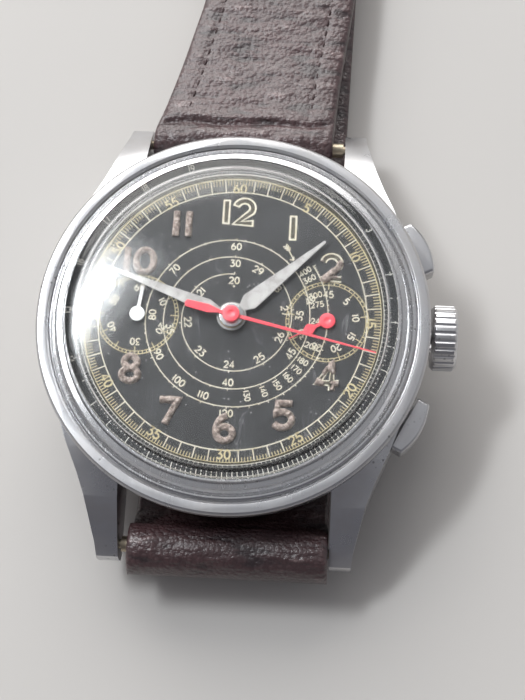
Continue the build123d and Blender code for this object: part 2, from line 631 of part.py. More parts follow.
parts["crown_wheel"] = gear(
    CROWN_TEETH, WINDING_MODULE, *RATCHET_LEVEL, CROWN_WHEEL_XY, crown_phase
) + disc(0.6, BRIDGE_UP - 0.4, RATCHET_LEVEL[0], CROWN_WHEEL_XY)
CLICK_AT = 135
click_xy = polar(RATCHET_TEETH * WINDING_MODULE / 2 + 1.1, CLICK_AT, BARREL_XY)
click_tip = polar(RATCHET_TEETH * WINDING_MODULE / 2 + 0.62, CLICK_AT - 22, BARREL_XY)
parts["click"] = link([click_xy, click_tip], 0.7, *RATCHET_LEVEL) + disc(
    0.35, BRIDGE_UP, RATCHET_LEVEL[0], click_xy
)

# ---- setting lever ----
SETTING_PIVOT = (11.4, -4.2)
setting_tip = (12.1, -1.5)
parts["setting_lever"] = link([SETTING_PIVOT, setting_tip], 0.7, -3.3, PLATE_LOW - 0.05) + disc(
    0.4, PLATE_LOW - 0.06, PLATE_LOW + 0.6, SETTING_PIVOT
)

# ---- chronograph works, on the back of the bridges ----
def heart_cam(at, low, high, turn):
    """Heart-shaped zero-reset cam: its radius falls evenly from the point to the notch."""
    points = [polar(0.55 + 0.75 * abs(number / 12 - 1), turn + number * 15, at) for number in range(24)]
    return plate(points, low, high)


parts["chronograph_runner"] = (
    disc(CHRONO_ARBOR_R, TOP_BRIDGE[1] - 0.2, CHRONO_HAND_UP + 0.3)
    + spoked(gear(120, 2 * RUNNER_R / 120, *RUNNER_LEVEL, CENTRE, 0), CENTRE, 0.9, 3.0, *RUNNER_LEVEL, 5)
    + disc(0.5, LEVER_LEVEL[1], RUNNER_LEVEL[0])
    + heart_cam(CENTRE, *LEVER_LEVEL, 90 - CHRONO_AT)
)
parts["recorder_wheel"] = (
    disc(ARBOR_R, TOP_BRIDGE[1] - 0.2, SMALL_HAND_UP + 0.06, RECORDER_XY)
    + gear(45, 2 * RECORDER_R / 45, *RUNNER_LEVEL, RECORDER_XY, 0)
    + disc(0.5, LEVER_LEVEL[1], RUNNER_LEVEL[0], RECORDER_XY)
    + heart_cam(RECORDER_XY, *LEVER_LEVEL, 90 - RECORDER_AT)
)
idler_gap = (SUBDIAL_X - RUNNER_R - RECORDER_R) / 2
IDLER_XY = (RUNNER_R + idler_gap - 0.02, 2.6)
parts["recorder_intermediate"] = gear(
    30, 2 * IDLER_R / 30, *RUNNER_LEVEL, IDLER_XY, 0
) + disc(ARBOR_R, RUNNER_LEVEL[0], PIVOT_IN_BRIDGE, IDLER_XY)
driver_to_coupler = DRIVER_R + COUPLER_R + 0.14
COUPLER_XY = polar(driver_to_coupler, 24, FOURTH_XY)
COUPLING_PIVOT = (-12.3, -2.9)
parts["coupling_lever"] = (
    link([COUPLING_PIVOT, (-11.0, 3.2), (-7.5, 3.9), COUPLER_XY], 0.9, *LEVER_LEVEL)
    + disc(0.4, LEVER_LEVEL[0] + 0.1, PIVOT_IN_BRIDGE, COUPLING_PIVOT)
    + disc(ARBOR_R, LEVER_LEVEL[1] - 0.05, RUNNER_LEVEL[1], COUPLER_XY)
)
parts["coupling_wheel"] = gear(40, 2 * COUPLER_R / 40, *RUNNER_LEVEL, COUPLER_XY, 0, ARBOR_R + 0.04)


def make_column_wheel():
    wheel = gear(12, 2 * COLUMN_R / 12, LEVER_LEVEL[1] - 0.1, RUNNER_LEVEL[1], COLUMN_XY, 0)
    for number in range(6):
        wheel = wheel + disc(0.3, LEVER_LEVEL[0] - 0.1, LEVER_LEVEL[1], polar(1.05, number * 60, COLUMN_XY))
    return wheel + disc(0.5, RUNNER_LEVEL[0], PIVOT_IN_BRIDGE, COLUMN_XY)


parts["column_wheel"] = make_column_wheel()
TAB_R = (14.2, 14.6)


def bent_tab(from_deg, to_deg, post_from, post_to):
    """Upright flange of a lever: an arc wall at the height of the pusher, with a post down to the lever."""
    wall = ring(TAB_R[1], TAB_R[0], -4.7, PLATE_LOW - 0.1)
    low_deg = min(from_deg, post_from)
    high_deg = max(to_deg, post_to)

    def wedge(start, end, low, high):
        corners = [polar(9, start), polar(20, start), polar(20, (start + end) / 2), polar(20, end), polar(9, end)]
        return plate(corners, low, high)

    tab = wall & wedge(low_deg, high_deg, -5, PLATE_LOW)
    post = ring(TAB_R[1], TAB_R[0], LEVER_LEVEL[0], -4.6) & wedge(post_from, post_to, -9, -4)
    return tab + post


parts["operating_lever"] = (
    bent_tab(22, 30, 33, 40)
    + link([OPERATING_PIVOT, polar(13.9, 36.5)], 1.0, *LEVER_LEVEL)
    + link([OPERATING_PIVOT, (6.8, 9.9)], 0.8, *LEVER_LEVEL)
    + disc(0.4, LEVER_LEVEL[0] + 0.1, PIVOT_IN_BRIDGE, OPERATING_PIVOT)
)
parts["hammer"] = (
    bent_tab(-32, -24, -32, -26)
    + link([HAMMER_PIVOT, (9.5, -8.6), polar(13.9, -29)], 1.0, *LEVER_LEVEL)
    + link([HAMMER_PIVOT, (3.2, -3.2), (3.05, 0.0)], 0.9, *LEVER_LEVEL)
    + link([(8.6, -8.4), (11.9, -3.6), (11.7, 0.0)], 0.8, *LEVER_LEVEL)
    + disc(0.4, LEVER_LEVEL[0] + 0.1, PIVOT_IN_BRIDGE, HAMMER_PIVOT)
)

# ---- plate and bridges ----
def make_main_plate():
    body = disc(PLATE_R, PLATE_LOW, PLATE_UP)
    body = body + ring(PLATE_R, PLATE_R - 0.9, PLATE_UP, -DIAL_T)
    for at in (THIRD_XY, FOURTH_XY, ESCAPE_XY, PALLET_XY, BALANCE_XY, RECORDER_XY):
        body = body - disc(HOLE, PLATE_LOW - 1, PLATE_UP + 1, at)
    body = body - disc(HOLE, PLATE_LOW - 1, PLATE_UP + 1, MINUTE_XY)
    body = body - disc(CENTRE_TUBE_R + CLEAR, PLATE_LOW - 1, PLATE_UP + 1)
    body = body - disc(BARREL_ARBOR_R - 0.27, PLATE_LOW - 1, PLATE_UP + 1, BARREL_XY)
    body = body - disc(0.43, PLATE_LOW - 1, PLATE_UP + 1, SETTING_PIVOT)
    for foot_at in DIAL_FEET:
        body = body - disc(0.42, PLATE_LOW - 1, 0, polar(13.4, foot_at))
    for angle in BRIDGE_POSTS:
        body = body + disc(BRIDGE_POST_R, BRIDGE_UP, PLATE_LOW + 0.1, polar(BRIDGE_POST_AT_R, angle))
    for angle in (START_ANGLE, RESET_ANGLE):
        groove = rod_x(PUSHER_ROD_R + 2 * CLEAR, PUSHER_ROD_IN_X - 1.2, PLATE_R + 1, 0, up(PUSHER_UP))
        body = body - Rot(0, 0, angle) * groove
    return body - rod_x(1.3, SLIDING_X[0] - 0.3, PLATE_R + 1, 0, up(CROWN_UP))



def bridge(points, holes, slot):
    """Bridge plate over an outline, with pivot holes and an edge slot for a lever's tab, given as two angles."""
    body = plate(points, BRIDGE_LOW, BRIDGE_UP) & disc(PLATE_R, BRIDGE_LOW - 1, BRIDGE_UP + 1)
    for at, radius in holes:
        body = body - disc(radius, BRIDGE_LOW - 1, BRIDGE_UP + 1, at)
    if slot:
        corners = [polar(12.9, slot[0]), polar(20, slot[0]), polar(20, slot[1]), polar(12.9, slot[1])]
        body = body - plate(corners, BRIDGE_LOW - 1, BRIDGE_UP + 1)
    return body


parts["main_plate"] = make_main_plate()
barrel_outline = [(1.9, -1.9), polar(20, -17), polar(20, 20), polar(20, 60), polar(20, 92), (-1.6, 9.0), (-1.6, 1.9)]
parts["barrel_bridge"] = bridge(
    barrel_outline,
    [
        (BARREL_XY, BARREL_ARBOR_R - 0.27), (CROWN_WHEEL_XY, 0.63), (RECORDER_XY, HOLE), (COLUMN_XY, 0.53),
        (IDLER_XY, HOLE), (OPERATING_PIVOT, 0.43), (click_xy, 0.36), (CENTRE, CENTRE_TUBE_R + CLEAR),
    ],
    (28, 45),
)
train_outline = [
    (-1.9, 1.6), (-2.2, 5.9), (-9.3, 4.7), polar(20, 146), polar(20, 180), polar(20, 220), polar(20, 260),
    polar(20, 300), polar(20, -21), (1.7, -2.3), (-1.2, -2.2),
]
parts["train_bridge"] = bridge(
    train_outline,
    [
        (THIRD_XY, HOLE), (FOURTH_XY, HOLE), (ESCAPE_XY, HOLE), (COUPLING_PIVOT, 0.43), (HAMMER_PIVOT, 0.43),
        (CENTRE, 2.4),
    ],
    (-40, -21.5),
)
cock_outline = [(-2.6, 6.3), (-2.4, 9.0), polar(20, 97), polar(20, 118), polar(20, 143), (-9.3, 5.0)]
parts["balance_cock"] = bridge(cock_outline, [(BALANCE_XY, HOLE), (PALLET_XY, HOLE)], None)
parts["chronograph_bridge"] = (
    link([(-2.4, -5.0), CENTRE, RECORDER_XY, (12.6, 1.6)], 1.3, *TOP_BRIDGE)
    + disc(0.65, TOP_BRIDGE[1], BRIDGE_LOW, (-2.4, -5.0))
    + disc(0.65, TOP_BRIDGE[1], BRIDGE_LOW, (12.6, 1.6))
    - disc(CHRONO_ARBOR_R + 0.03, TOP_BRIDGE[1] - 0.22, TOP_BRIDGE[1] + 1)
    - disc(HOLE, TOP_BRIDGE[1] - 0.22, TOP_BRIDGE[1] + 1, RECORDER_XY)
)
parts["bridge_screws"] = [
    disc(0.75, BRIDGE_LOW - 0.4, BRIDGE_LOW, polar(BRIDGE_POST_AT_R, angle)) for angle in BRIDGE_POSTS
]
parts["movement_ring"] = ring(BORE_R, PLATE_R + CLEAR, -6.6, -DIAL_T)
for angle, level, radius in ((0, CROWN_UP, 1.4), (START_ANGLE, PUSHER_UP, 1.2), (RESET_ANGLE, PUSHER_UP, 1.2)):
    parts["movement_ring"] = parts["movement_ring"] - Rot(0, 0, angle) * rod_x(radius, 12, 17, 0, up(level))

# ---- straps ----
BAR_Z = up(BAR_UP)
FAR = 30
# lower strap, from the lower bar under the case: Y, X of its middle line and width
LOWER_STATIONS = [
    (-BAR_Y - 5, LOWER_SHIFT, LOWER_W), (-16.0, LOWER_SHIFT, LOWER_W), (23.0, 1.6, 17.1), (40.0, 2.2, 16.7),
    (LOWER_TIP_Y - 9, LOWER_TIP_X, LOWER_TIP_W),
]
# upper strap, from the upper bar to the buckle: it leans towards the crown and then runs straight
UPPER_STATIONS = [
    (BAR_Y - 4, UPPER_SHIFT, UPPER_W), (LUG_TIP_Y - 1, UPPER_SHIFT, UPPER_W), (28.0, 0.6, 17.1),
    (38.0, 2.35, UPPER_TAIL_W), (UPPER_STRAIGHT_Y, UPPER_LEAN_X, UPPER_TAIL_W),
    (BUCKLE_Y + 3, UPPER_LEAN_X, UPPER_TAIL_W),
]


def strap_loop(side, bar_y, width, shift):
    """The turned end of a strap: a roll a little thicker on the outside of its bar."""
    return rod_x(STRAP_LOOP_R, shift - width / 2, shift + width / 2, bar_y + side * STRAP_LOOP_OUT, BAR_Z)


def middle_x(stations, y):
    """X of a strap's middle line at a given Y, straight between its stations."""
    for (y_0, x_0, _), (y_1, x_1, _) in zip(stations, stations[1:]):
        if y_0 <= y <= y_1:
            return x_0 + (x_1 - x_0) * (y - y_0) / (y_1 - y_0)
    return stations[-1][1]


def strap_outline(stations, tip=()):
    """Plan of a strap from its stations; tip points are given from the end of the middle line, right side."""
    right = [(x + width / 2, y) for y, x, width in stations]
    left = [(x - width / 2, y) for y, x, width in stations]
    end_x = stations[-1][1]
    right_tip = [(end_x + x, y) for x, y in tip]
    left_tip = [(end_x - x, y) for x, y in tip if x]
    return right + right_tip + left_tip[::-1] + left[::-1]


def outline_prism(points, low_z, high_z):
    face = make_face(Polyline(*points, close=True))
    return Pos(0, 0, low_z) * extrude(face, high_z - low_z)


def make_lower_strap():
    """The hole half: it leaves the lower bar, folds flat under the case and runs on towards 12 o'clock."""
    loop = strap_loop(-1, -BAR_Y, 2 * LOWER_W, LOWER_SHIFT)
    side = [
        (-BAR_Y - 1.9, BAR_Z - 1.97), (-BAR_Y + 1.2, 0.35), (-BAR_Y + 2.4, 0), (LOWER_TIP_Y, 0),
        (LOWER_TIP_Y, STRAP_T), (19.5, STRAP_T), (16.5, STRAP_PAD_T), (-17.4, STRAP_PAD_T), (-BAR_Y + 2.0, BAR_Z),
        (-BAR_Y, BAR_Z),
    ]
    body = side_profile(side, -FAR, FAR)
    half_tip = LOWER_TIP_W / 2
    tip = [(half_tip - 1.6, LOWER_TIP_Y - 4), (half_tip * 0.4, LOWER_TIP_Y - 0.8), (0.0, LOWER_TIP_Y)]
    strap = (loop + body) & outline_prism(strap_outline(LOWER_STATIONS, tip), -1, 20)
    strap = strap - rod_x(BAR_R + CLEAR, -FAR, FAR, -BAR_Y, BAR_Z)
    for number in range(HOLE_COUNT):
        hole_y = LOWER_TIP_Y - HOLE_FROM_TIP - number * HOLE_PITCH
        strap = strap - Pos(middle_x(LOWER_STATIONS, hole_y), hole_y, 0) * Cylinder(HOLE_R, 20)
    return strap


parts["strap_lower"] = make_lower_strap()
BUCKLE_Z = TAIL_FLOOR + UPPER_T / 2
SLOPE_FROM_Y = 70.0
SLOPE_TO_Y = 83.0
TONGUE_SLOT = (3.4, 4.6)


def make_upper_strap():
    """The buckle half: it leans towards the crown beside the case, then runs straight to the buckle."""
    loop = strap_loop(1, BAR_Y, 2 * UPPER_W, 0)
    side = [
        (BAR_Y, BAR_Z - 1.2), (BAR_Y + 2.2, BAR_Z - 1.6), (BAR_Y + 5, UPPER_FLOOR), (SLOPE_FROM_Y, UPPER_FLOOR),
        (SLOPE_TO_Y, TAIL_FLOOR), (BUCKLE_Y, TAIL_FLOOR), (BUCKLE_Y, TAIL_FLOOR + UPPER_T),
        (SLOPE_TO_Y, TAIL_FLOOR + UPPER_T), (SLOPE_FROM_Y, UPPER_FLOOR + UPPER_T),
        (42, UPPER_FLOOR + UPPER_T), (31, UPPER_FLOOR + UPPER_T + 0.6), (BAR_Y + 3, BAR_Z + 2.0),
        (BAR_Y + 0.9, BAR_Z + 2.45), (BAR_Y, BAR_Z + 2.5),
    ]
    end_loop = rod_x(BUCKLE_LOOP_R, -FAR, FAR, BUCKLE_Y, BUCKLE_Z)
    body = side_profile(side, -FAR, FAR)
    strap = (loop + body + end_loop) & outline_prism(strap_outline(UPPER_STATIONS), -1, 20)
    strap = strap - rod_x(BAR_R + CLEAR, -FAR, FAR, BAR_Y, BAR_Z)
    strap = strap - rod_x(BUCKLE_BAR_R + CLEAR, -FAR, FAR, BUCKLE_Y, BUCKLE_Z)
    return strap - Pos(UPPER_LEAN_X, BUCKLE_Y, BUCKLE_Z) * Box(*TONGUE_SLOT, 6)


parts["strap_upper"] = make_upper_strap()


# ---- buckle and keepers ----
def make_buckle():
    """Open rectangular frame whose two sides hang on the bar."""
    inner_w = UPPER_TAIL_W + 2 * BUCKLE_SIDE_GAP
    outer_w = inner_w + 2 * BUCKLE_WIRE
    height = BUCKLE_WIRE
    low = BUCKLE_Z - height / 2
    frame = Pos(UPPER_LEAN_X, BUCKLE_Y - 1.4, low) * Box(
        outer_w, BUCKLE_DEPTH + 1.4, height, align=(Align.CENTER, Align.MIN, Align.MIN)
    )
    frame = fillet(frame.edges().filter_by(Axis.Z).group_by(Axis.Y)[-1], 3.0)
    window = Pos(UPPER_LEAN_X, BUCKLE_Y - 3, low - 1) * Box(
        inner_w, BUCKLE_DEPTH + 3 - BUCKLE_WIRE, height + 2, align=(Align.CENTER, Align.MIN, Align.MIN)
    )
    frame = frame - window
    notch = Pos(UPPER_LEAN_X, BUCKLE_Y + BUCKLE_DEPTH - BUCKLE_WIRE / 2, low + height) * Box(1.6, 4, 0.5)
    return frame - notch - rod_x(BUCKLE_BAR_R, UPPER_LEAN_X - 30, UPPER_LEAN_X + 30, BUCKLE_Y, BUCKLE_Z)


parts["buckle_frame"] = make_buckle()
bar_half = UPPER_TAIL_W / 2 + BUCKLE_SIDE_GAP + BUCKLE_WIRE - 0.2
parts["buckle_bar"] = rod_x(BUCKLE_BAR_R, UPPER_LEAN_X - bar_half, UPPER_LEAN_X + bar_half, BUCKLE_Y, BUCKLE_Z)


def make_tongue():
    """Round prong: an eye on the bar and a straight wire that rests over the frame."""
    eye = rod_x(BUCKLE_BAR_R + CLEAR + 0.8, UPPER_LEAN_X - 0.9, UPPER_LEAN_X + 0.9, BUCKLE_Y, BUCKLE_Z)
    wire_z = BUCKLE_Z + BUCKLE_WIRE / 2 - 0.25 + CLEAR + TONGUE_R
    root = Pos(UPPER_LEAN_X, BUCKLE_Y + 0.3, BUCKLE_Z) * Box(
        1.1, 1.0, wire_z - BUCKLE_Z + TONGUE_R, align=(Align.CENTER, Align.CENTER, Align.MIN)
    )
    wire = Pos(UPPER_LEAN_X, BUCKLE_Y + 0.3, wire_z) * Rot(-90, 0, 0) * Cylinder(
        TONGUE_R, BUCKLE_DEPTH + 0.2, align=(Align.CENTER, Align.CENTER, Align.MIN)
    )
    return eye + root + wire - rod_x(BUCKLE_BAR_R + CLEAR, -30, 30, BUCKLE_Y, BUCKLE_Z)


parts["buckle_tongue"] = make_tongue()


def make_keeper(at_y, floor_z):
    """Leather band round the strap, with a gap for the free end of the other half."""
    inner_w = UPPER_TAIL_W + 2 * KEEPER_GAP
    inner_low = floor_z - KEEPER_GAP
    inner_high = floor_z + UPPER_T + STRAP_T + 2 * KEEPER_GAP
    outer = Pos(UPPER_LEAN_X, at_y, inner_low - KEEPER_T) * Box(
        inner_w + 2 * KEEPER_T, KEEPER_W, inner_high - inner_low + 2 * KEEPER_T,
        align=(Align.CENTER, Align.CENTER, Align.MIN),
    )
    outer = fillet(outer.edges().filter_by(Axis.Y), 0.8)
    inner = Pos(UPPER_LEAN_X, at_y, inner_low) * Box(
        inner_w, KEEPER_W + 2, inner_high - inner_low, align=(Align.CENTER, Align.CENTER, Align.MIN)
    )
    return outer - inner


parts["fixed_keeper"] = make_keeper(FIXED_KEEPER_Y, TAIL_FLOOR)
parts["free_keeper"] = make_keeper(FREE_KEEPER_Y, UPPER_FLOOR)

# ---- write one file per sub-part ----
os.makedirs("parts", exist_ok=True)
for name, shape in parts.items():
    if isinstance(shape, list):
        shape = Compound(children=[Compound(each.solids()) if len(each.solids()) > 1 else each.solid() for each in shape])
    export_step(shape, f"parts/{name}.step")
print(len(parts), "nodes")
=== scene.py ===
"""A worn chronograph wristwatch on its folded leather strap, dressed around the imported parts.

Shapes are worked out in millimetres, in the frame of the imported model, and become metres when a mesh is made.
"""
import json
from math import atan2, cos, degrees, hypot, pi, radians, sin

import bmesh
import bpy
import numpy as np
from mathutils import Matrix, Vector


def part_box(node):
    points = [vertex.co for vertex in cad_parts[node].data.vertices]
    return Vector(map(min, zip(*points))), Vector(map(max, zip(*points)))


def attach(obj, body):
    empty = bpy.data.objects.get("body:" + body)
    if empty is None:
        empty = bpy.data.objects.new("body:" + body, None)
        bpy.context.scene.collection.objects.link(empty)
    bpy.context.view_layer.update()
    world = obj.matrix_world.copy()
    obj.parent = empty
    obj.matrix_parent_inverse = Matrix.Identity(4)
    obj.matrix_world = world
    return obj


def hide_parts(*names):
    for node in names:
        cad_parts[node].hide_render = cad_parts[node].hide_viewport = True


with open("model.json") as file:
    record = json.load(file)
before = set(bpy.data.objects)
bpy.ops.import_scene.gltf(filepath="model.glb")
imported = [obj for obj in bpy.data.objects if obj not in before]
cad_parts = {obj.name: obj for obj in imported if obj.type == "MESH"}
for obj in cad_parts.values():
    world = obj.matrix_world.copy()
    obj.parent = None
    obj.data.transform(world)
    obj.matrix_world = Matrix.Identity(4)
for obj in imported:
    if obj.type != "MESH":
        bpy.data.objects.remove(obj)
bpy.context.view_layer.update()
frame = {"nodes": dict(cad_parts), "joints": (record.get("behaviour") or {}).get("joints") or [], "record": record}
nodes = frame["nodes"]
joints = {joint["name"]: joint for joint in frame["joints"]}
MM = 0.001


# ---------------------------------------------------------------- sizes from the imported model, mm
def low(node):
    return np.array(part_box(node)[0]) / MM


def high(node):
    return np.array(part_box(node)[1]) / MM


def pivot(joint):
    """X and Y of a joint's axis."""
    return np.array(joints[joint]["pos_m"][:2]) / MM


DIAL_TOP = high("dial")[2]
SMALL_XY = pivot("small_seconds_turn")
RECORDER_XY = pivot("minute_recorder_turn")
SUBDIAL_R = 4.1
BAR_Y = joints["upper_strap_swing"]["pos_m"][1] / MM
BAR_Z = joints["upper_strap_swing"]["pos_m"][2] / MM
BUCKLE_X = joints["buckle_swing"]["pos_m"][0] / MM
BUCKLE_Y = joints["buckle_swing"]["pos_m"][1] / MM
BUCKLE_Z = joints["buckle_swing"]["pos_m"][2] / MM
SECONDS_IN = 12.6
SECONDS_OUT = 13.97
FIFTH_IN = 13.3
TELEMETER_R = 14.5
NUMERAL_R = 10.55
PRINT_T = 0.012


# ---------------------------------------------------------------- shader wires
class Wire:
    """A shader value: using it in an expression adds the Math nodes for it."""

    def __init__(self, board, socket):
        self.board = board
        self.socket = socket

    def math(self, operation, first, second=None, clamp=False):
        values = {0: first} if second is None else {0: first, 1: second}
        return self.board.add("ShaderNodeMath", {"operation": operation, "use_clamp": clamp}, values)

    def __add__(self, other):
        return self.math("ADD", self, other)

    def __radd__(self, other):
        return self.math("ADD", other, self)

    def __sub__(self, other):
        return self.math("SUBTRACT", self, other)

    def __rsub__(self, other):
        return self.math("SUBTRACT", other, self)

    def __mul__(self, other):
        return self.math("MULTIPLY", self, other)

    def __rmul__(self, other):
        return self.math("MULTIPLY", other, self)

    def __truediv__(self, other):
        return self.math("DIVIDE", self, other)

    def power(self, exponent):
        return self.math("POWER", self, exponent)

    def abs(self):
        return self.math("ABSOLUTE", self)

    def sine(self):
        return self.math("SINE", self)

    def most(self, other):
        return self.math("MAXIMUM", self, other)

    def step(self, start, end):
        """0 at start, 1 at end, eased between; start may be the larger one."""
        settings = {"interpolation_type": "SMOOTHSTEP", "clamp": True}
        ranges = {"From Min": min(start, end), "From Max": max(start, end)}
        ranges["To Min"], ranges["To Max"] = (0.0, 1.0) if start < end else (1.0, 0.0)
        return self.board.add("ShaderNodeMapRange", settings, {"Value": self, **ranges})


class Board:
    """The node tree of one material."""

    def __init__(self, name):
        self.material = bpy.data.materials.new(name)
        self.material.use_nodes = True
        self.tree = self.material.node_tree
        self.tree.nodes.clear()

    def add(self, kind, settings=None, values=None, output=0):
        """Adds a node, sets it up, plugs its sockets and returns one output as a wire."""
        node = self.tree.nodes.new(kind)
        for key, value in (settings or {}).items():
            if key == "stops":
                ramp = node.color_ramp
                while len(ramp.elements) < len(value):
                    ramp.elements.new(0.5)
                for element, (place, colour) in zip(ramp.elements, value):
                    element.position = place
                    element.color = (*colour, 1.0)
            else:
                setattr(node, key, value)
        for key, value in (values or {}).items():
            if isinstance(value, Wire):
                self.tree.links.new(value.socket, node.inputs[key])
            else:
                node.inputs[key].default_value = value
        return Wire(self, node.outputs[output])

    def place(self):
        """Object coordinates, metres."""
        return self.add("ShaderNodeTexCoord", output=3)

    def mapped(self, scale=(1, 1, 1), turn=(0, 0, 0), shift=(0, 0, 0)):
        values = {"Vector": self.place(), "Scale": scale, "Rotation": turn, "Location": shift}
        return self.add("ShaderNodeMapping", None, values)

    def noise(self, where, per_mm, detail=4.0, roughness=0.55):
        """Fractal noise from 0 to 1 with a given number of features to a millimetre."""
        values = {"Vector": where, "Scale": per_mm / MM, "Detail": detail, "Roughness": roughness}
        return self.add("ShaderNodeTexNoise", None, values)

    def cells(self, where, per_mm, feature="F1", randomness=1.0):
        """Distance in a Voronoi pattern, in cells."""
        values = {"Vector": where, "Scale": per_mm / MM, "Randomness": randomness}
        return self.add("ShaderNodeTexVoronoi", {"feature": feature}, values)

    def mix(self, factor, first, second):
        """Colour mix."""
        values = {0: factor}
        for key, colour in ((6, first), (7, second)):
            values[key] = colour if isinstance(colour, Wire) else (*colour, 1.0)
        return self.add("ShaderNodeMix", {"data_type": "RGBA"}, values, output=2)

    def bump(self, height, depth_mm, strength=1.0, normal=None):
        values = {"Height": height, "Distance": depth_mm * MM, "Strength": strength}
        if normal is not None:
            values["Normal"] = normal
        return self.add("ShaderNodeBump", None, values)

    def finish(self, **values):
        """Ends the tree in a Principled shader; names are the socket names with underscores."""
        sockets = {key.replace("_", " "): value for key, value in values.items()}
        for key in ("Base Color", "Coat Tint", "Sheen Tint"):
            if key in sockets and not isinstance(sockets[key], Wire):
                sockets[key] = (*sockets[key], 1.0)
        shader = self.add("ShaderNodeBsdfPrincipled", None, sockets)
        out = self.tree.nodes.new("ShaderNodeOutputMaterial")
        self.tree.links.new(shader.socket, out.inputs["Surface"])
        return self.material


def hairlines(board, turn, per_mm, stretch, width):
    """Thin random scratches: where strongly stretched noise passes through one half."""
    where = board.mapped(scale=(1.0, stretch, 1.0), turn=turn)
    wave = board.noise(where, per_mm, detail=1.0)
    return (wave - 0.5).abs().step(width, 0.0)


# ---------------------------------------------------------------- materials
def worn_steel(name, colour, rough, scratches=0.5, pits=0.5, tarnish=0.5):
    """Old steel: cloudy polish, hairline scratches one over another, and dark pits with grime in them."""
    board = Board(name)
    place = board.place()
    cloud = board.noise(place, 0.35, detail=5.0)
    fine = board.noise(place, 4.0, detail=3.0)
    lines = hairlines(board, (0.3, 0.2, 0.5), 1.6, 0.06, 0.012)
    lines = lines.most(hairlines(board, (1.2, 0.4, 2.1), 1.9, 0.05, 0.010))
    lines = lines.most(hairlines(board, (0.5, 1.3, 1.2), 1.3, 0.07, 0.012))
    pit_mask = board.noise(place, 0.22, detail=2.0).step(0.52, 0.68)
    pit = board.cells(place, 1.7).step(0.26, 0.12) * pit_mask * pits
    dark = tuple(0.32 * value for value in colour)
    warm = (colour[0] * 0.86, colour[1] * 0.82, colour[2] * 0.78)
    shade = board.mix(cloud.step(0.35, 0.75) * tarnish, colour, warm)
    shade = board.mix(pit, shade, dark)
    roughness = rough + cloud * 0.14 + lines * 0.10 * scratches + pit * 0.35 - 0.05
    height = fine * 0.5 - lines * scratches * 0.6 - pit * 2.0
    normal = board.bump(height, 0.006, 0.7)
    return board.finish(Base_Color=shade, Metallic=1.0, Roughness=roughness, Normal=normal)


def plain_metal(name, colour, rough, per_mm=2.0, depth=0.004):
    """Machined metal of the movement, with a fine grain and slightly uneven colour."""
    board = Board(name)
    grain = board.noise(board.mapped(scale=(1.0, 5.0, 1.0)), per_mm, detail=3.0)
    cloud = board.noise(board.place(), 0.3)
    shade = board.mix(cloud * 0.5, colour, tuple(0.8 * value for value in colour))
    normal = board.bump(grain, depth)
    return board.finish(Base_Color=shade, Metallic=1.0, Roughness=rough + grain * 0.15, Normal=normal)


def frosted_nickel(name):
    """Bridge finish: overlapping round grains in rows, slightly warm."""
    board = Board(name)
    place = board.place()
    grain = board.cells(place, 1.1, randomness=0.15)
    rings = (grain * 38.0).sine()
    cloud = board.noise(place, 0.4)
    shade = board.mix(cloud, (0.66, 0.63, 0.57), (0.50, 0.47, 0.42))
    normal = board.bump(rings, 0.003)
    return board.finish(Base_Color=shade, Metallic=1.0, Roughness=0.26 + grain * 0.12, Normal=normal)


def lacquer(name, colour, rough=0.28):
    """Painted hand: lacquer with tiny dust and slight fading."""
    board = Board(name)
    place = board.place()
    fade = board.noise(place, 0.6, detail=4.0).step(0.4, 0.75)
    dust = board.cells(place, 3.2).step(0.14, 0.05)
    pale = tuple(min(1.0, value * 0.75 + 0.17) for value in colour)
    shade = board.mix(fade * 0.45 + dust * 0.4, colour, pale)
    normal = board.bump(board.noise(place, 5.0), 0.006)
    return board.finish(
        Base_Color=shade, Roughness=rough + dust * 0.3, Normal=normal, Coat_Weight=0.4, Coat_Roughness=0.12
    )


def hand_plate(name):
    """Bare, tarnished hand metal with a sandy grain."""
    board = Board(name)
    place = board.place()
    grain = board.noise(place, 7.0, detail=2.0)
    cloud = board.noise(place, 0.9)
    shade = board.mix(cloud.step(0.35, 0.7), (0.40, 0.39, 0.38), (0.27, 0.26, 0.25))
    normal = board.bump(grain, 0.03)
    return board.finish(Base_Color=shade, Metallic=0.55, Roughness=0.46 + grain * 0.2, Normal=normal)


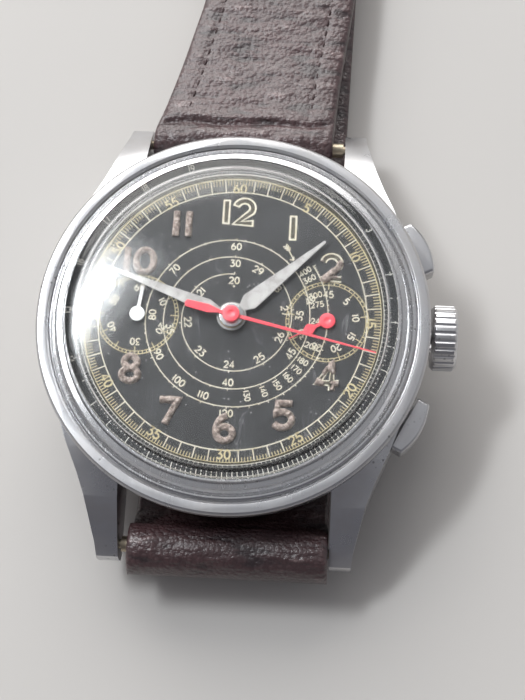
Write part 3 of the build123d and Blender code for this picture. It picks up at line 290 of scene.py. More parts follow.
def aged_dial(name):
    """Black lacquer gone charcoal: dust, hairlines, an olive band outside the seconds, grooved sub-dials."""
    board = Board(name)
    place = board.place()
    parts = board.tree.nodes.new("ShaderNodeSeparateXYZ")
    board.tree.links.new(place.socket, parts.inputs[0])
    x = Wire(board, parts.outputs[0]) / MM
    y = Wire(board, parts.outputs[1]) / MM
    radius = (x * x + y * y).power(0.5)
    cloud = board.noise(place, 0.25, detail=5.0)
    specks = board.cells(place, 1.5).step(0.16, 0.07) * board.noise(place, 1.1, detail=1.0).step(0.50, 0.62)
    fibres = hairlines(board, (0, 0, 0.7), 0.55, 0.10, 0.006)
    fibres = fibres.most(hairlines(board, (0, 0, 2.4), 0.45, 0.12, 0.005)) * cloud.step(0.45, 0.65)
    shade = board.mix(cloud.step(0.3, 0.75), (0.012, 0.0125, 0.0135), (0.024, 0.025, 0.027))
    band = radius.step(SECONDS_OUT - 0.05, SECONDS_OUT + 0.05) * radius.step(TELEMETER_R, TELEMETER_R - 0.08)
    shade = board.mix(band, shade, (0.032, 0.026, 0.012))
    shade = board.mix(specks * 0.55, shade, (0.38, 0.38, 0.37))
    shade = board.mix(fibres * 0.35, shade, (0.30, 0.30, 0.31))
    grooves = 0.0
    for centre in (SMALL_XY, RECORDER_XY):
        dx = x - float(centre[0])
        dy = y - float(centre[1])
        reach = (dx * dx + dy * dy).power(0.5)
        grooves = (reach * 40.0).sine() * reach.step(SUBDIAL_R, SUBDIAL_R - 0.3) + grooves
    height = board.noise(place, 2.5, detail=4.0) + grooves * 0.35 + specks * 1.5
    normal = board.bump(height, 0.012)
    return board.finish(Base_Color=shade, Roughness=0.5 + cloud * 0.15, Normal=normal, Specular_IOR_Level=0.35)


def dial_ink(name, colour, stain):
    """Printed line or numeral, uneven and stained with age."""
    board = Board(name)
    wear = board.noise(board.place(), 1.2, detail=5.0, roughness=0.7)
    shade = board.mix(wear.step(0.42, 0.8), colour, stain)
    normal = board.bump(board.noise(board.place(), 8.0), 0.01)
    return board.finish(Base_Color=shade, Roughness=0.6, Normal=normal)


def old_lume(name):
    """Radium paint gone brown: granular, cracked, paler along its ridges."""
    board = Board(name)
    place = board.place()
    grain = board.noise(place, 3.5, detail=6.0, roughness=0.7)
    crust = board.cells(place, 3.0)
    shade = board.mix(grain.step(0.35, 0.7), (0.21, 0.155, 0.13), (0.50, 0.43, 0.385))
    shade = board.mix(crust.step(0.42, 0.7) * 0.6, shade, (0.11, 0.08, 0.065))
    normal = board.bump(grain + crust * 0.5, 0.07)
    return board.finish(Base_Color=shade, Roughness=0.78, Normal=normal)


def clear_acrylic(name):
    """Clear crystal with a light haze of scuffs."""
    board = Board(name)
    place = board.place()
    scuffs = hairlines(board, (0, 0, 0.4), 0.8, 0.10, 0.008)
    scuffs = scuffs.most(hairlines(board, (0, 0, 1.9), 0.7, 0.12, 0.008))
    haze = board.noise(place, 0.2).step(0.55, 0.8)
    roughness = scuffs * 0.10 + haze * 0.04 + 0.10
    return board.finish(Base_Color=(0.985, 0.99, 0.99), Roughness=roughness, IOR=1.49, Transmission_Weight=1.0)


def strap_leather(name, dark=1.0):
    """Maroon-brown calf: fine pebble grain, cross wrinkles with a painted sheen on their crests, painted shade in the
    folds and between the pebbles.
    """
    board = Board(name)
    place = board.place()
    pebble = board.cells(place, 2.3)
    pores = board.noise(place, 6.0, detail=3.0)
    wrinkles = board.noise(board.mapped(scale=(0.33, 1.0, 1.0)), 0.75, detail=4.0, roughness=0.5)
    cloud = board.noise(place, 0.12, detail=3.0)
    base = tuple(dark * value for value in (0.082, 0.038, 0.040))
    # dark colour of the wrinkle folds and the low pebble borders: painted shade
    painted_shade = tuple(dark * value for value in (0.026, 0.012, 0.014))
    # pale colour of the wrinkle crests: a painted sheen standing in for light glinting on them
    painted_sheen = tuple(dark * value for value in (0.27, 0.19, 0.185))
    shade = board.mix(cloud.step(0.3, 0.7), base, tuple(0.72 * value for value in base))
    # darker in the wrinkle folds: painted shade
    shade = board.mix(wrinkles.step(0.46, 0.34), shade, painted_shade)
    # paler on the wrinkle crests: painted sheen
    shade = board.mix(wrinkles.step(0.60, 0.72) * 0.6, shade, painted_sheen)
    # darker at the low borders between the pebbles: painted shade
    shade = board.mix(pebble.step(0.35, 0.65) * 0.35, shade, painted_shade)
    height = wrinkles * 1.6 - pebble * 0.35 + pores * 0.18
    normal = board.bump(height, 0.26)
    roughness = 0.36 - wrinkles.step(0.5, 0.7) * 0.12 + pores * 0.08
    return board.finish(
        Base_Color=shade, Roughness=roughness, Normal=normal,
        Specular_IOR_Level=0.8, Coat_Weight=0.25, Coat_Roughness=0.3,
    )


def waxed_thread(name):
    board = Board(name)
    twist = board.noise(board.mapped(scale=(1, 1, 1), turn=(0, 0, 0.6)), 5.0, detail=2.0)
    shade = board.mix(twist, (0.050, 0.020, 0.020), (0.022, 0.009, 0.011))
    return board.finish(Base_Color=shade, Roughness=0.6, Normal=board.bump(twist, 0.05))


def soft_rubber(name):
    board = Board(name)
    grain = board.noise(board.place(), 5.0)
    shade = board.mix(grain, (0.012, 0.012, 0.012), (0.03, 0.03, 0.03))
    return board.finish(Base_Color=shade, Roughness=0.7, Normal=board.bump(grain, 0.01))


def blued_spring(name):
    board = Board(name)
    cloud = board.noise(board.place(), 1.5)
    shade = board.mix(cloud, (0.05, 0.09, 0.30), (0.12, 0.14, 0.26))
    return board.finish(Base_Color=shade, Metallic=1.0, Roughness=0.28 + cloud * 0.1)


def pale_floor(name):
    board = Board(name)
    mottle = board.noise(board.place(), 0.03, detail=3.0)
    shade = board.mix(mottle, (0.60, 0.575, 0.55), (0.56, 0.54, 0.52))
    return board.finish(Base_Color=shade, Roughness=0.75)


STEEL = (0.63, 0.63, 0.645)
case_steel = worn_steel("case_steel", STEEL, 0.27, scratches=0.3, pits=0.8)
bezel_steel = worn_steel("bezel_steel", (0.66, 0.66, 0.67), 0.20, scratches=0.5, pits=1.0, tarnish=0.4)
bar_steel = worn_steel("spring_bar_steel", (0.50, 0.44, 0.34), 0.38, pits=1.0, tarnish=1.0)
buckle_steel = worn_steel("buckle_steel", (0.66, 0.66, 0.67), 0.18, scratches=0.5, pits=0.3)
hand_steel = hand_plate("hand_steel")
red_lacquer = lacquer("red_lacquer", (0.80, 0.060, 0.085))
white_lacquer = lacquer("white_lacquer", (0.80, 0.80, 0.79))
crystal_acrylic = clear_acrylic("crystal_acrylic")
dial_lacquer = aged_dial("dial_lacquer")
cream_ink = dial_ink("cream_ink", (0.62, 0.58, 0.47), (0.42, 0.36, 0.22))
gilt_ink = dial_ink("gilt_ink", (0.50, 0.43, 0.25), (0.32, 0.25, 0.12))
white_ink = dial_ink("white_ink", (0.62, 0.60, 0.55), (0.42, 0.38, 0.30))
olive_ink = dial_ink("olive_ink", (0.045, 0.036, 0.018), (0.022, 0.018, 0.012))
lume_crust = old_lume("lume_crust")
leather = strap_leather("strap_leather")
edge_leather = strap_leather("keeper_leather", dark=0.8)
thread = waxed_thread("strap_thread")

FINISHES = {
    "case_steel": case_steel,
    "bezel_steel": bezel_steel,
    "spring_bar_steel": bar_steel,
    "crystal_acrylic": crystal_acrylic,
    "gasket_rubber": soft_rubber("gasket_rubber"),
    "dial_black": dial_lacquer,
    "hand_steel": hand_steel,
    "hand_red": red_lacquer,
    "hand_white": white_lacquer,
    "movement_plate": frosted_nickel("movement_plate"),
    "gear_brass": plain_metal("gear_brass", (0.72, 0.52, 0.22), 0.24),
    "polished_steel": plain_metal("polished_steel", (0.60, 0.60, 0.62), 0.18),
    "spring_steel": blued_spring("spring_steel"),
    "strap_leather": leather,
    "buckle_steel": buckle_steel,
}
for entry in frame["record"]["subparts"]:
    mesh = nodes[entry["node"]].data
    mesh.materials.clear()
    mesh.materials.append(FINISHES[entry["material_slot"]])


# ---------------------------------------------------------------- mesh making
def mesh_piece(name, points, faces, material, body, smooth=True):
    """Mesh object from points in mm and lists of corner numbers; it rides on a body."""
    mesh = bpy.data.meshes.new(name)
    mesh.from_pydata((np.asarray(points) * MM).tolist(), [], faces)
    mesh.materials.append(material)
    mesh.polygons.foreach_set("use_smooth", [smooth] * len(mesh.polygons))
    mesh.update()
    turned = bmesh.new()
    turned.from_mesh(mesh)
    if turned.calc_volume(signed=True) < 0:
        mesh.flip_normals()
    turned.free()
    piece = bpy.data.objects.new(name, mesh)
    bpy.context.scene.collection.objects.link(piece)
    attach(piece, body)
    return piece


def tube_faces(rings, around, closed, start=0):
    """Quads between rings of points; a closed run joins its last ring to its first, an open one gets caps."""
    ring = np.arange(rings if closed else rings - 1)[:, None]
    side = np.arange(around)[None, :]
    ahead = (ring + 1) % rings
    beside = (side + 1) % around
    quads = np.stack([
        ring * around + side, ring * around + beside, ahead * around + beside, ahead * around + side
    ], axis=-1).reshape(-1, 4) + start
    faces = quads.tolist()
    if not closed:
        faces.append((np.arange(around)[::-1] + start).tolist())
        faces.append((np.arange(around) + (rings - 1) * around + start).tolist())
    return faces


def lattice_noise(x, y, seed):
    """Smooth noise from 0 to 1: random heights on a unit lattice, joined by cubic easing."""
    table = np.random.default_rng(seed).random((128, 128))
    i = np.floor(x).astype(int)
    j = np.floor(y).astype(int)
    u = x - i
    v = y - j
    u = u * u * (3 - 2 * u)
    v = v * v * (3 - 2 * v)
    near = table[i % 128, j % 128] * (1 - u) + table[(i + 1) % 128, j % 128] * u
    far = table[i % 128, (j + 1) % 128] * (1 - u) + table[(i + 1) % 128, (j + 1) % 128] * u
    return near * (1 - v) + far * v


def rough_noise(x, y, seed, octaves=3):
    """Sum of lattice noises, each at twice the pitch and half the height, scaled to about -1 to 1."""
    total = 0.0
    for octave in range(octaves):
        total = total + (lattice_noise(x * 2**octave, y * 2**octave, seed + octave) - 0.5) / 2**octave
    return total


# ---------------------------------------------------------------- strokes for numerals and lines
def arc(cx, cy, rx, ry, start, end, count=12):
    """Points on an ellipse between two angles, degrees from +X."""
    turn = np.radians(np.linspace(start, end, count))
    return np.stack([cx + rx * np.cos(turn), cy + ry * np.sin(turn)], axis=1)


def line(*points):
    return np.array(points, float)


def densify(path, pitch):
    """Points along a polyline at an even pitch, its corners kept."""
    pieces = []
    for start, end in zip(path[:-1], path[1:]):
        count = max(1, int(np.ceil(np.hypot(*(end - start)) / pitch)))
        share = np.arange(count)[:, None] / count
        pieces.append(start + (end - start) * share)
    return np.vstack(pieces + [path[-1:]])


# strokes of each numeral in a cell 0.62 wide and 1 high
DIGITS = {
    "0": [arc(0.31, 0.5, 0.31, 0.5, 90, 450, 25)],
    "1": [line((0.31, 0), (0.31, 1))],
    "2": [np.vstack([arc(0.31, 0.69, 0.29, 0.31, 165, -30), line((0.0, 0.0), (0.62, 0.0))])],
    "3": [np.vstack([line((0.04, 1), (0.56, 1), (0.26, 0.60)), arc(0.28, 0.30, 0.32, 0.30, 85, -150)])],
    "4": [line((0.46, 0), (0.46, 1), (0.0, 0.27), (0.64, 0.27))],
    "5": [np.vstack([line((0.57, 1), (0.12, 1), (0.07, 0.56)), arc(0.29, 0.31, 0.32, 0.31, 125, -150)])],
    "6": [arc(0.31, 0.29, 0.30, 0.29, 90, 450, 20), line((0.01, 0.31), (0.12, 0.70), (0.42, 1.0))],
    "7": [line((0.0, 1), (0.60, 1), (0.22, 0))],
    "8": [arc(0.31, 0.75, 0.25, 0.25, 90, 450, 18), arc(0.31, 0.26, 0.31, 0.26, 90, 450, 20)],
    "9": [arc(0.31, 0.71, 0.30, 0.29, 90, 450, 20), line((0.61, 0.69), (0.50, 0.30), (0.20, 0.0))],
}
WIDTHS = {"1": 0.20}
DIGIT_GAP = 0.24


def number_strokes(number, height):
    """Strokes of a number, centred on the origin."""
    strokes = []
    pen = 0.0
    for digit in str(number):
        width = WIDTHS.get(digit, 0.62)
        for stroke in DIGITS[digit]:
            strokes.append((stroke + (pen - (0.62 - width) / 2, -0.5)) * height)
        pen += width + DIGIT_GAP
    return [stroke - (0.5 * (pen - DIGIT_GAP) * height, 0) for stroke in strokes]


def placed(stroke, turn, at):
    """Turns a stroke clockwise by some degrees and moves it."""
    c = cos(radians(turn))
    s = sin(radians(turn))
    return stroke @ np.array([[c, -s], [s, c]]) + at


def dial_point(radius, clockwise, centre=(0, 0)):
    """Point at an angle clockwise from 12 o'clock."""
    turn = radians(clockwise)
    return np.array([centre[0] + radius * sin(turn), centre[1] + radius * cos(turn)])


def flanks(path, half, closed):
    """Left and right border of a stroke: the path moved sideways by half the width, mitred at its corners."""
    if closed:
        ahead = np.roll(path, -1, axis=0) - path
        behind = path - np.roll(path, 1, axis=0)
    else:
        ahead = np.vstack([path[1:] - path[:-1], path[-1:] - path[-2:-1]])
        behind = np.vstack([path[1:2] - path[:1], path[1:] - path[:-1]])
    ahead = ahead / np.linalg.norm(ahead, axis=1, keepdims=True)
    behind = behind / np.linalg.norm(behind, axis=1, keepdims=True)
    middle = ahead + behind
    length = np.maximum(np.linalg.norm(middle, axis=1, keepdims=True), 0.5)
    middle = middle / length
    side = np.stack([-middle[:, 1], middle[:, 0]], axis=1)
    stretch = np.minimum(2 / length, 1.6)
    offset = side * stretch * np.reshape(half, (-1, 1))
    return path + offset, path - offset


class Print:
    """A printed layer: strokes gathered as thin raised ribbons and made into one piece."""

    def __init__(self, base):
        self.base = base
        self.points = []
        self.faces = []
        self.count = 0

    def stroke(self, path, width, closed=False, lift=0.0):
        """Ribbon with four corners at each point of the path."""
        path = np.asarray(path, float)
        if closed:
            path = path[:-1]
        left, right = flanks(path, width / 2, closed)
        top = self.base + PRINT_T + lift + 0.0015 * (self.count % 3)
        levels = (self.base - 0.02, top, top, self.base - 0.02)
        corners = zip((right, right, left, left), levels)
        rings = [np.column_stack([xy, np.full(len(xy), z)]) for xy, z in corners]
        start = sum(len(block) for block in self.points)
        self.points.append(np.stack(rings, axis=1).reshape(-1, 3))
        self.faces += tube_faces(len(path), 4, closed, start)
        self.count += 1

    def number(self, number, height, width, at, turn=0.0):
        for stroke in number_strokes(number, height):
            closed = np.allclose(stroke[0], stroke[-1])
            self.stroke(placed(stroke, turn, at), width, closed)

    def tick(self, clockwise, inner, outer, width, centre=(0, 0)):
        self.stroke([dial_point(inner, clockwise, centre), dial_point(outer, clockwise, centre)], width)

    def circle(self, radius, width, centre=(0, 0), count=180):
        self.stroke(arc(*centre, radius, radius, 0, 360, count + 1), width, True)

    def piece(self, name, material):
        points = np.vstack(self.points)
        return mesh_piece(name, points, self.faces, material, "case", smooth=False)


def upright_turn(clockwise):
    """Turn of a numeral on a ring: tops outward above the middle of the dial, inward below it."""
    if 95 < clockwise % 360 < 265:
        return clockwise + 180
    return clockwise


# ---------------------------------------------------------------- dial printing
def seconds_track():
    """Railway of one-fifth seconds with boxed numerals, cream ticks and gilt numerals."""
    cream = Print(DIAL_TOP)
    gilt = Print(DIAL_TOP)
    cream.circle(SECONDS_IN, 0.10)
    gilt.circle(SECONDS_OUT, 0.11)
    for fifth in range(300):
        clockwise = fifth * 1.2
        second = fifth // 5
        whole = fifth % 5 == 0
        if whole and second % 5:
            cream.tick(clockwise, SECONDS_IN, SECONDS_OUT, 0.10)
        else:
            gilt.tick(clockwise, FIFTH_IN + (0.12 if whole else 0.0), SECONDS_OUT, 0.075)
    for number in range(5, 65, 5):
        clockwise = number * 6.0
        gilt.number(number, 0.80, 0.16, dial_point(12.98, clockwise), upright_turn(clockwise))
    cream.piece("seconds_track", cream_ink)
    gilt.piece("seconds_numerals", gilt_ink)


def telemeter():
    """Outer distance scale: sound takes three seconds for each kilometre, so each number is at three times it."""
    white = Print(DIAL_TOP)
    white.circle(TELEMETER_R, 0.11)
    for tenth in range(20, 200):
        clockwise = tenth / 10 * 18
        reach = 0.62 if tenth % 10 == 0 else 0.48 if tenth % 5 == 0 else 0.28
        white.tick(clockwise, TELEMETER_R, TELEMETER_R + reach, 0.075)
    for number in range(3, 20):
        clockwise = number * 18.0
        white.number(number, 0.52, 0.10, dial_point(15.36, clockwise), upright_turn(clockwise))
    white.piece("distance_scale", white_ink)


SPIRAL_START = 9.0
SPIRAL_END = 180.0


def spiral_radius(elapsed):
    """The speed spiral comes in by an even step each turn of sixty seconds."""
    return 0.97 * (7.91 + 1.75 * (60 - elapsed) / 60)


def speed_spiral():
    """Snail scale for speeds: the number at each place is 3600 divided by the seconds elapsed."""
    ink = Print(DIAL_TOP)
    elapsed = np.linspace(SPIRAL_START, SPIRAL_END, 420)
    turn = np.radians(elapsed * 6)
    radius = spiral_radius(elapsed)
    ink.stroke(np.stack([radius * np.sin(turn), radius * np.cos(turn)], axis=1), 0.085)
    speeds = [*range(400, 200, -10), *range(200, 100, -5), *range(100, 60, -2), *range(60, 19, -1)]
    for speed in speeds:
        seconds = 3600 / speed
        r = spiral_radius(seconds)
        long = speed % 50 == 0 or (speed <= 200 and speed % 10 == 0) or 21 <= speed <= 29
        ink.tick(seconds * 6, r, r + (0.22 if long else 0.14), 0.075)
    for speed in (400, 360, 300, 275, 240, 200, 180, 170, 160, 150, 140, 130):
        seconds = 3600 / speed
        ink.number(speed, 0.50, 0.095, dial_point(spiral_radius(seconds) - 0.95, seconds * 6), seconds * 6 - 90)
    for speed in (110, 100, 90, 80, 70, 60, 45, 40, 35, 30, 29, 28, 27, 26, 25, 24, 23, 22, 21, 20):
        seconds = 3600 / speed
        clockwise = seconds * 6
        flip = upright_turn(clockwise)
        inset = 0.62 if speed not in (45, 40, 35) else 0.60
        ink.number(speed, 0.62, 0.115, dial_point(spiral_radius(seconds) - inset, clockwise), flip)
    ink.number(120, 0.62, 0.115, dial_point(spiral_radius(30) + 0.62, 180))
    dot = dial_point(spiral_radius(SPIRAL_END) - 1.2, 0)
    ink.stroke(arc(*dot, 0.05, 0.05, 0, 360, 9), 0.10, True)
    arrow_shaft = [dial_point(8.75, 32.5), dial_point(8.05, 43.0)]
    ink.stroke(arrow_shaft, 0.10)
    for side in (-1, 1):
        for back in (0.0, 0.22, 0.44):
            start = placed(line((0, -back), (side * 0.24, 0.26 - back)), 137.0 + 180, dial_point(8.62, 33.6))
            ink.stroke(start, 0.11)
        head = placed(line((0, 0), (side * 0.24, 0.30)), 137.0 + 180, arrow_shaft[1])
        ink.stroke(head, 0.10)
    ink.piece("speed_spiral", cream_ink)


def subdial_rings():
    """Railway rings of the two sub-dials with their numerals."""
    gilt = Print(DIAL_TOP - 0.06)
    cream = Print(DIAL_TOP - 0.06)
    for centre, divisions, numbers in ((SMALL_XY, 60, range(10, 70, 10)), (RECORDER_XY, 45, range(5, 50, 5))):
        gilt.circle(3.86, 0.075, centre, 96)
        gilt.circle(3.58, 0.065, centre, 96)
        for mark in range(divisions):
            clockwise = mark * 360 / divisions
            long = mark % 5 == 0
            gilt.tick(clockwise, 3.12 if long else 3.58, 3.86, 0.085 if long else 0.09, centre)
        for number in numbers:
            clockwise = number * 360 / divisions
            cream.number(number, 0.60, 0.115, dial_point(2.66, clockwise, centre), clockwise)
    gilt.piece("subdial_rings", gilt_ink)
    cream.piece("subdial_numerals", cream_ink)


# ---------------------------------------------------------------- hour numerals
HOUR_STROKES = {
    "0": [arc(0.36, 0.5, 0.30, 0.41, 90, 450, 29)],
    "1": [line((0.31, 0.04), (0.31, 0.96))],
    "2": [np.vstack([arc(0.36, 0.66, 0.29, 0.27, 170, -32, 14), line((0.12, 0.10), (0.70, 0.10))])],
    "4": [line((0.52, 0.02), (0.52, 0.94), (0.06, 0.28), (0.76, 0.28))],
    "5": [np.vstack([line((0.66, 0.92), (0.20, 0.92), (0.14, 0.56)), arc(0.34, 0.36, 0.32, 0.27, 120, -145, 14)])],
    "6": [np.vstack([arc(0.50, 0.42, 0.42, 0.52, 100, 185, 9), arc(0.37, 0.32, 0.27, 0.24, 180, 540, 22)])],
    "7": [line((0.06, 0.88), (0.66, 0.88), (0.26, 0.04))],
    "8": [arc(0.37, 0.73, 0.22, 0.20, 90, 450, 22), arc(0.37, 0.29, 0.28, 0.22, 90, 450, 26)],
}
HOUR_WIDTHS = {"1": 0.36}
HOUR_HEIGHT = 2.75
HOUR_BOLD = 0.62


def hour_strokes(number):
    """Strokes of an hour numeral centred on the origin, mm."""
    strokes = []
    pen = 0.0
    for digit in str(number):
        width = HOUR_WIDTHS.get(digit, 0.76)
        inset = 0.13 if digit == "1" else 0.0
        for stroke in HOUR_STROKES[digit]:
            strokes.append((stroke + (pen - inset, -0.5)) * HOUR_HEIGHT)
        pen += width + 0.08
    return [stroke - (0.5 * (pen - 0.08) * HOUR_HEIGHT, 0) for stroke in strokes]


def outline_numeral(cream, olive, number, at):
    """A numeral whose paint has fallen out: a cream outline round a dark olive filling."""
    for index, stroke in enumerate(hour_strokes(number)):
        path = placed(stroke, 0, at)
        closed = np.allclose(path[0], path[-1])
        cream.stroke(path, HOUR_BOLD + 0.10, closed)
        if closed:
            olive.stroke(path, HOUR_BOLD - 0.24, True, 0.008)
        else:
            ends = path.copy()
            for end, inner in ((0, 1), (-1, -2)):
                pull = ends[inner] - ends[end]
                ends[end] = ends[end] + pull / np.hypot(*pull) * 0.17
            olive.stroke(ends, HOUR_BOLD - 0.24, False, 0.008)


def lume_numeral(name, number, at, seed, left_over=1.0):
    """Raised crust: a cushion section along each stroke, uneven in height and width.

    The height is the root of one minus the squared place across the stroke, times noise; where little paint is
    left the noise dips below the dial.
    """
    points = []
    faces = []
    start = 0
    across = np.linspace(-1, 1, 9)
    for order, stroke in enumerate(hour_strokes(number)):
        path = densify(placed(stroke, 0, at), 0.11)
        closed = np.allclose(path[0], path[-1])
        if closed:
            path = path[:-1]
        noise = rough_noise(path[:, 0] * 2.1, path[:, 1] * 2.1, seed, 3)
        half = HOUR_BOLD / 2 * (1.04 + 0.22 * noise)
        left, right = flanks(path, half, closed)
        share = (across + 1)[None, :, None] / 2
        xy = right[:, None, :] * (1 - share) + left[:, None, :] * share
        bumps = rough_noise(xy[..., 0] * 4.3, xy[..., 1] * 4.3, seed + 9, 3)
        holes = rough_noise(xy[..., 0] * 1.3, xy[..., 1] * 1.3, seed + 31, 2)
        dome = np.sqrt(np.clip(1 - across**2, 0, 1))[None, :]
        height = dome * (0.30 + 0.26 * bumps) + 0.02 + 0.004 * order
        height = height - np.clip(holes + 0.5 - left_over, 0, 1) * 1.4
        top = np.concatenate([xy, (DIAL_TOP + height)[..., None]], axis=-1)
        floor_left = np.concatenate([xy[:, -1:, :], np.full((len(path), 1, 1), DIAL_TOP - 0.03)], axis=-1)
        floor_right = np.concatenate([xy[:, :1, :], np.full((len(path), 1, 1), DIAL_TOP - 0.03)], axis=-1)
        rings = np.concatenate([floor_right, top, floor_left], axis=1)
        points.append(rings.reshape(-1, 3))
        faces += tube_faces(len(path), rings.shape[1], closed, start)
        start += rings.shape[0] * rings.shape[1]
    return mesh_piece(name, np.vstack(points), faces, lume_crust, "case")


def hour_numerals():
    """Ten Arabic numerals; the places at 3 and 9 belong to the sub-dials."""
    cream = Print(DIAL_TOP)
    olive = Print(DIAL_TOP)
    for number in (12, 1):
        outline_numeral(cream, olive, number, dial_point(NUMERAL_R, number * 30))
    paint_left = {2: 0.50, 4: 0.55, 5: 1.0, 6: 1.0, 7: 0.85, 8: 1.0, 10: 1.0, 11: 0.9}
    for number, share in paint_left.items():
        at = dial_point(NUMERAL_R, number * 30)
        lume_numeral(f"hour_{number}_paint", number, at, seed=17 * number, left_over=share)
        for stroke in hour_strokes(number):
            closed = np.allclose(stroke[0], stroke[-1])
            cream.stroke(placed(stroke, 0, at), HOUR_BOLD + 0.02, closed)
            if share < 0.6:
                olive.stroke(placed(stroke, 0, at), HOUR_BOLD - 0.26, closed, 0.008)
    cream.piece("hour_outlines", cream_ink)
    olive.piece("hour_fillings", olive_ink)


seconds_track()
telemeter()
speed_spiral()
subdial_rings()
hour_numerals()


# ---------------------------------------------------------------- hands
def prism(name, outline, base, top, material, body, bevel=0.035):
    """Flat plate over a closed outline, its edges rounded by a small bevel."""
    outline = np.asarray(outline, float)
    area = np.sum(outline[:, 0] * np.roll(outline[:, 1], -1) - outline[:, 1] * np.roll(outline[:, 0], -1))
    if area < 0:
        outline = outline[::-1]
    count = len(outline)
    lower = np.column_stack([outline, np.full(count, base)])
    upper = np.column_stack([outline, np.full(count, top)])
    faces = tube_faces(2, count, False)
    piece = mesh_piece(name, np.vstack([lower, upper]), faces, material, body, smooth=False)
    add_bevel(piece, bevel)
    return piece


def add_bevel(piece, width, segments=2, angle=35):
    """Rounds the edges sharper than an angle."""
    bevel = piece.modifiers.new("edge", "BEVEL")
    bevel.width = width * MM
    bevel.segments = segments
    bevel.limit_method = "ANGLE"
    bevel.angle_limit = radians(angle)
    return piece


def lathe(name, profile, centre, material, body, count=64, solid=True):
    """Turned piece: a profile of radius and height carried round a vertical axis.

    A solid one is closed by small flat faces at both ends of its profile, a ring joins its ends.
    """
    turn = np.linspace(0, 2 * pi, count, endpoint=False)
    profile = np.asarray(profile, float)
    radius = profile[:, 0][:, None]
    x = centre[0] + radius * np.cos(turn)[None, :]
    y = centre[1] + radius * np.sin(turn)[None, :]
    z = np.broadcast_to(profile[:, 1][:, None], x.shape)
    points = np.stack([x, y, z], axis=-1).reshape(-1, 3)
    return mesh_piece(name, points, tube_faces(len(profile), count, not solid), material, body)


def button(radius, low_z, high_z, round_by=0.06, dimple=0.0):
    """Profile of a small round boss with a rounded upper edge and an optional dimple in its top."""
    edge = arc(radius - round_by, high_z - round_by, round_by, round_by, 0, 90, 5)
    wall = [(0.02, low_z), (radius - 0.02, low_z), (radius, low_z + 0.02)]
    floor_z = high_z - dimple
    inner = [(radius * 0.5, high_z), (radius * 0.42, high_z), (radius * 0.36, floor_z), (0.02, floor_z)]
    return np.vstack([wall, edge, inner])


def blade(half_outline, clockwise, centre):
    """Symmetric outline of a hand, given as half width and reach, turned to its angle."""
    half = np.asarray(half_outline, float)
    other = half[::-1] * (-1, 1)
    both = np.vstack([half, other[np.abs(other[:, 0]) > 1e-6]])
    return placed(both, clockwise, np.asarray(centre))


def hand_angle(node, centre):
    """Clockwise angle of a hand: from its pivot to the far corner of its box."""
    points = np.array([vertex.co[:2] for vertex in nodes[node].data.vertices]) / MM - centre
    tip = points[np.argmax(np.hypot(points[:, 0], points[:, 1]))]
    return degrees(atan2(tip[0], tip[1])), float(np.hypot(*tip))


def hands():
    """Kite-shaped hour and minute hands, red chronograph hand, white seconds hand and red recorder."""
    centre = np.zeros(2)
    for node, body, widest, widest_at, bevel in (
        ("hour_hand", "hour_work", 0.86, 2.15, 0.04), ("minute_hand", "minute_work", 0.66, 2.4, 0.04)
    ):
        turn, reach = hand_angle(node, centre)
        base = low(node)[2]
        top = high(node)[2]
        outline = blade([(0.20, 0.95), (widest, widest_at), (0.13, reach - 0.12), (0.0, reach)], turn, centre)
        piece = prism(node + "_blade", outline, base, top, hand_steel, body, bevel)
        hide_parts(node)
    hour_base = low("hour_hand")[2]
    hour_hub = np.array([(1.15, 0.0), (1.35, 0.0), (1.38, 0.05), (1.33, 0.11), (1.15, 0.11)]) + (0, hour_base)
    lathe("hour_hub", hour_hub, centre, hand_steel, "hour_work", solid=False)
    minute_base = low("minute_hand")[2]
    boss = button(1.15, minute_base, minute_base + 0.20, 0.07)
    lathe("minute_hub", boss, centre, bezel_steel, "minute_work")

    turn, reach = hand_angle("chronograph_hand", centre)
    base = low("chronograph_hand")[2]
    tail = 4.5
    counterweight = [(0.0, -tail), (0.34, -tail + 0.14), (0.40, -2.2), (0.17, -1.2)]
    pointer = [(0.18, 0.0), (0.17, 1.2), (0.06, reach - 0.1), (0.0, reach)]
    needle = blade(counterweight + pointer, turn, centre)
    body = "chronograph_runner"
    piece = prism("chronograph_needle", needle, base, base + 0.12, red_lacquer, body, 0.03)
    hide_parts("chronograph_hand")
    boss = button(0.80, base + 0.02, base + 0.44, 0.12, 0.05)
    lathe("chronograph_boss", boss, centre, red_lacquer, body)

    turn, reach = hand_angle("small_seconds_hand", SMALL_XY)
    base = low("small_seconds_hand")[2]
    baton = blade([(0.17, 0.3), (0.15, reach - 0.05), (0.0, reach)], turn, SMALL_XY)
    body = "small_seconds"
    piece = prism("small_seconds_baton", baton, base, base + 0.11, white_lacquer, body, 0.03)
    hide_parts("small_seconds_hand")
    boss = button(0.72, base, base + 0.15, 0.05, 0.04)
    lathe("small_seconds_boss", boss, SMALL_XY, white_lacquer, body, 48)

    turn, reach = hand_angle("recorder_hand", RECORDER_XY)
    base = low("recorder_hand")[2]
    arrow = blade(
        [(0.17, 0.3), (0.17, 1.25), (0.52, 1.75), (0.44, 2.05), (0.08, 2.5), (0.04, reach - 0.05), (0.0, reach)],
        turn, RECORDER_XY,
    )
    piece = prism("recorder_arrow", arrow, base, base + 0.12, red_lacquer, "minute_recorder", 0.03)
    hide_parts("recorder_hand")
    boss = button(0.74, base, base + 0.18, 0.07, 0.04)
    lathe("recorder_boss", boss, RECORDER_XY, red_lacquer, "minute_recorder", 48)


hands()


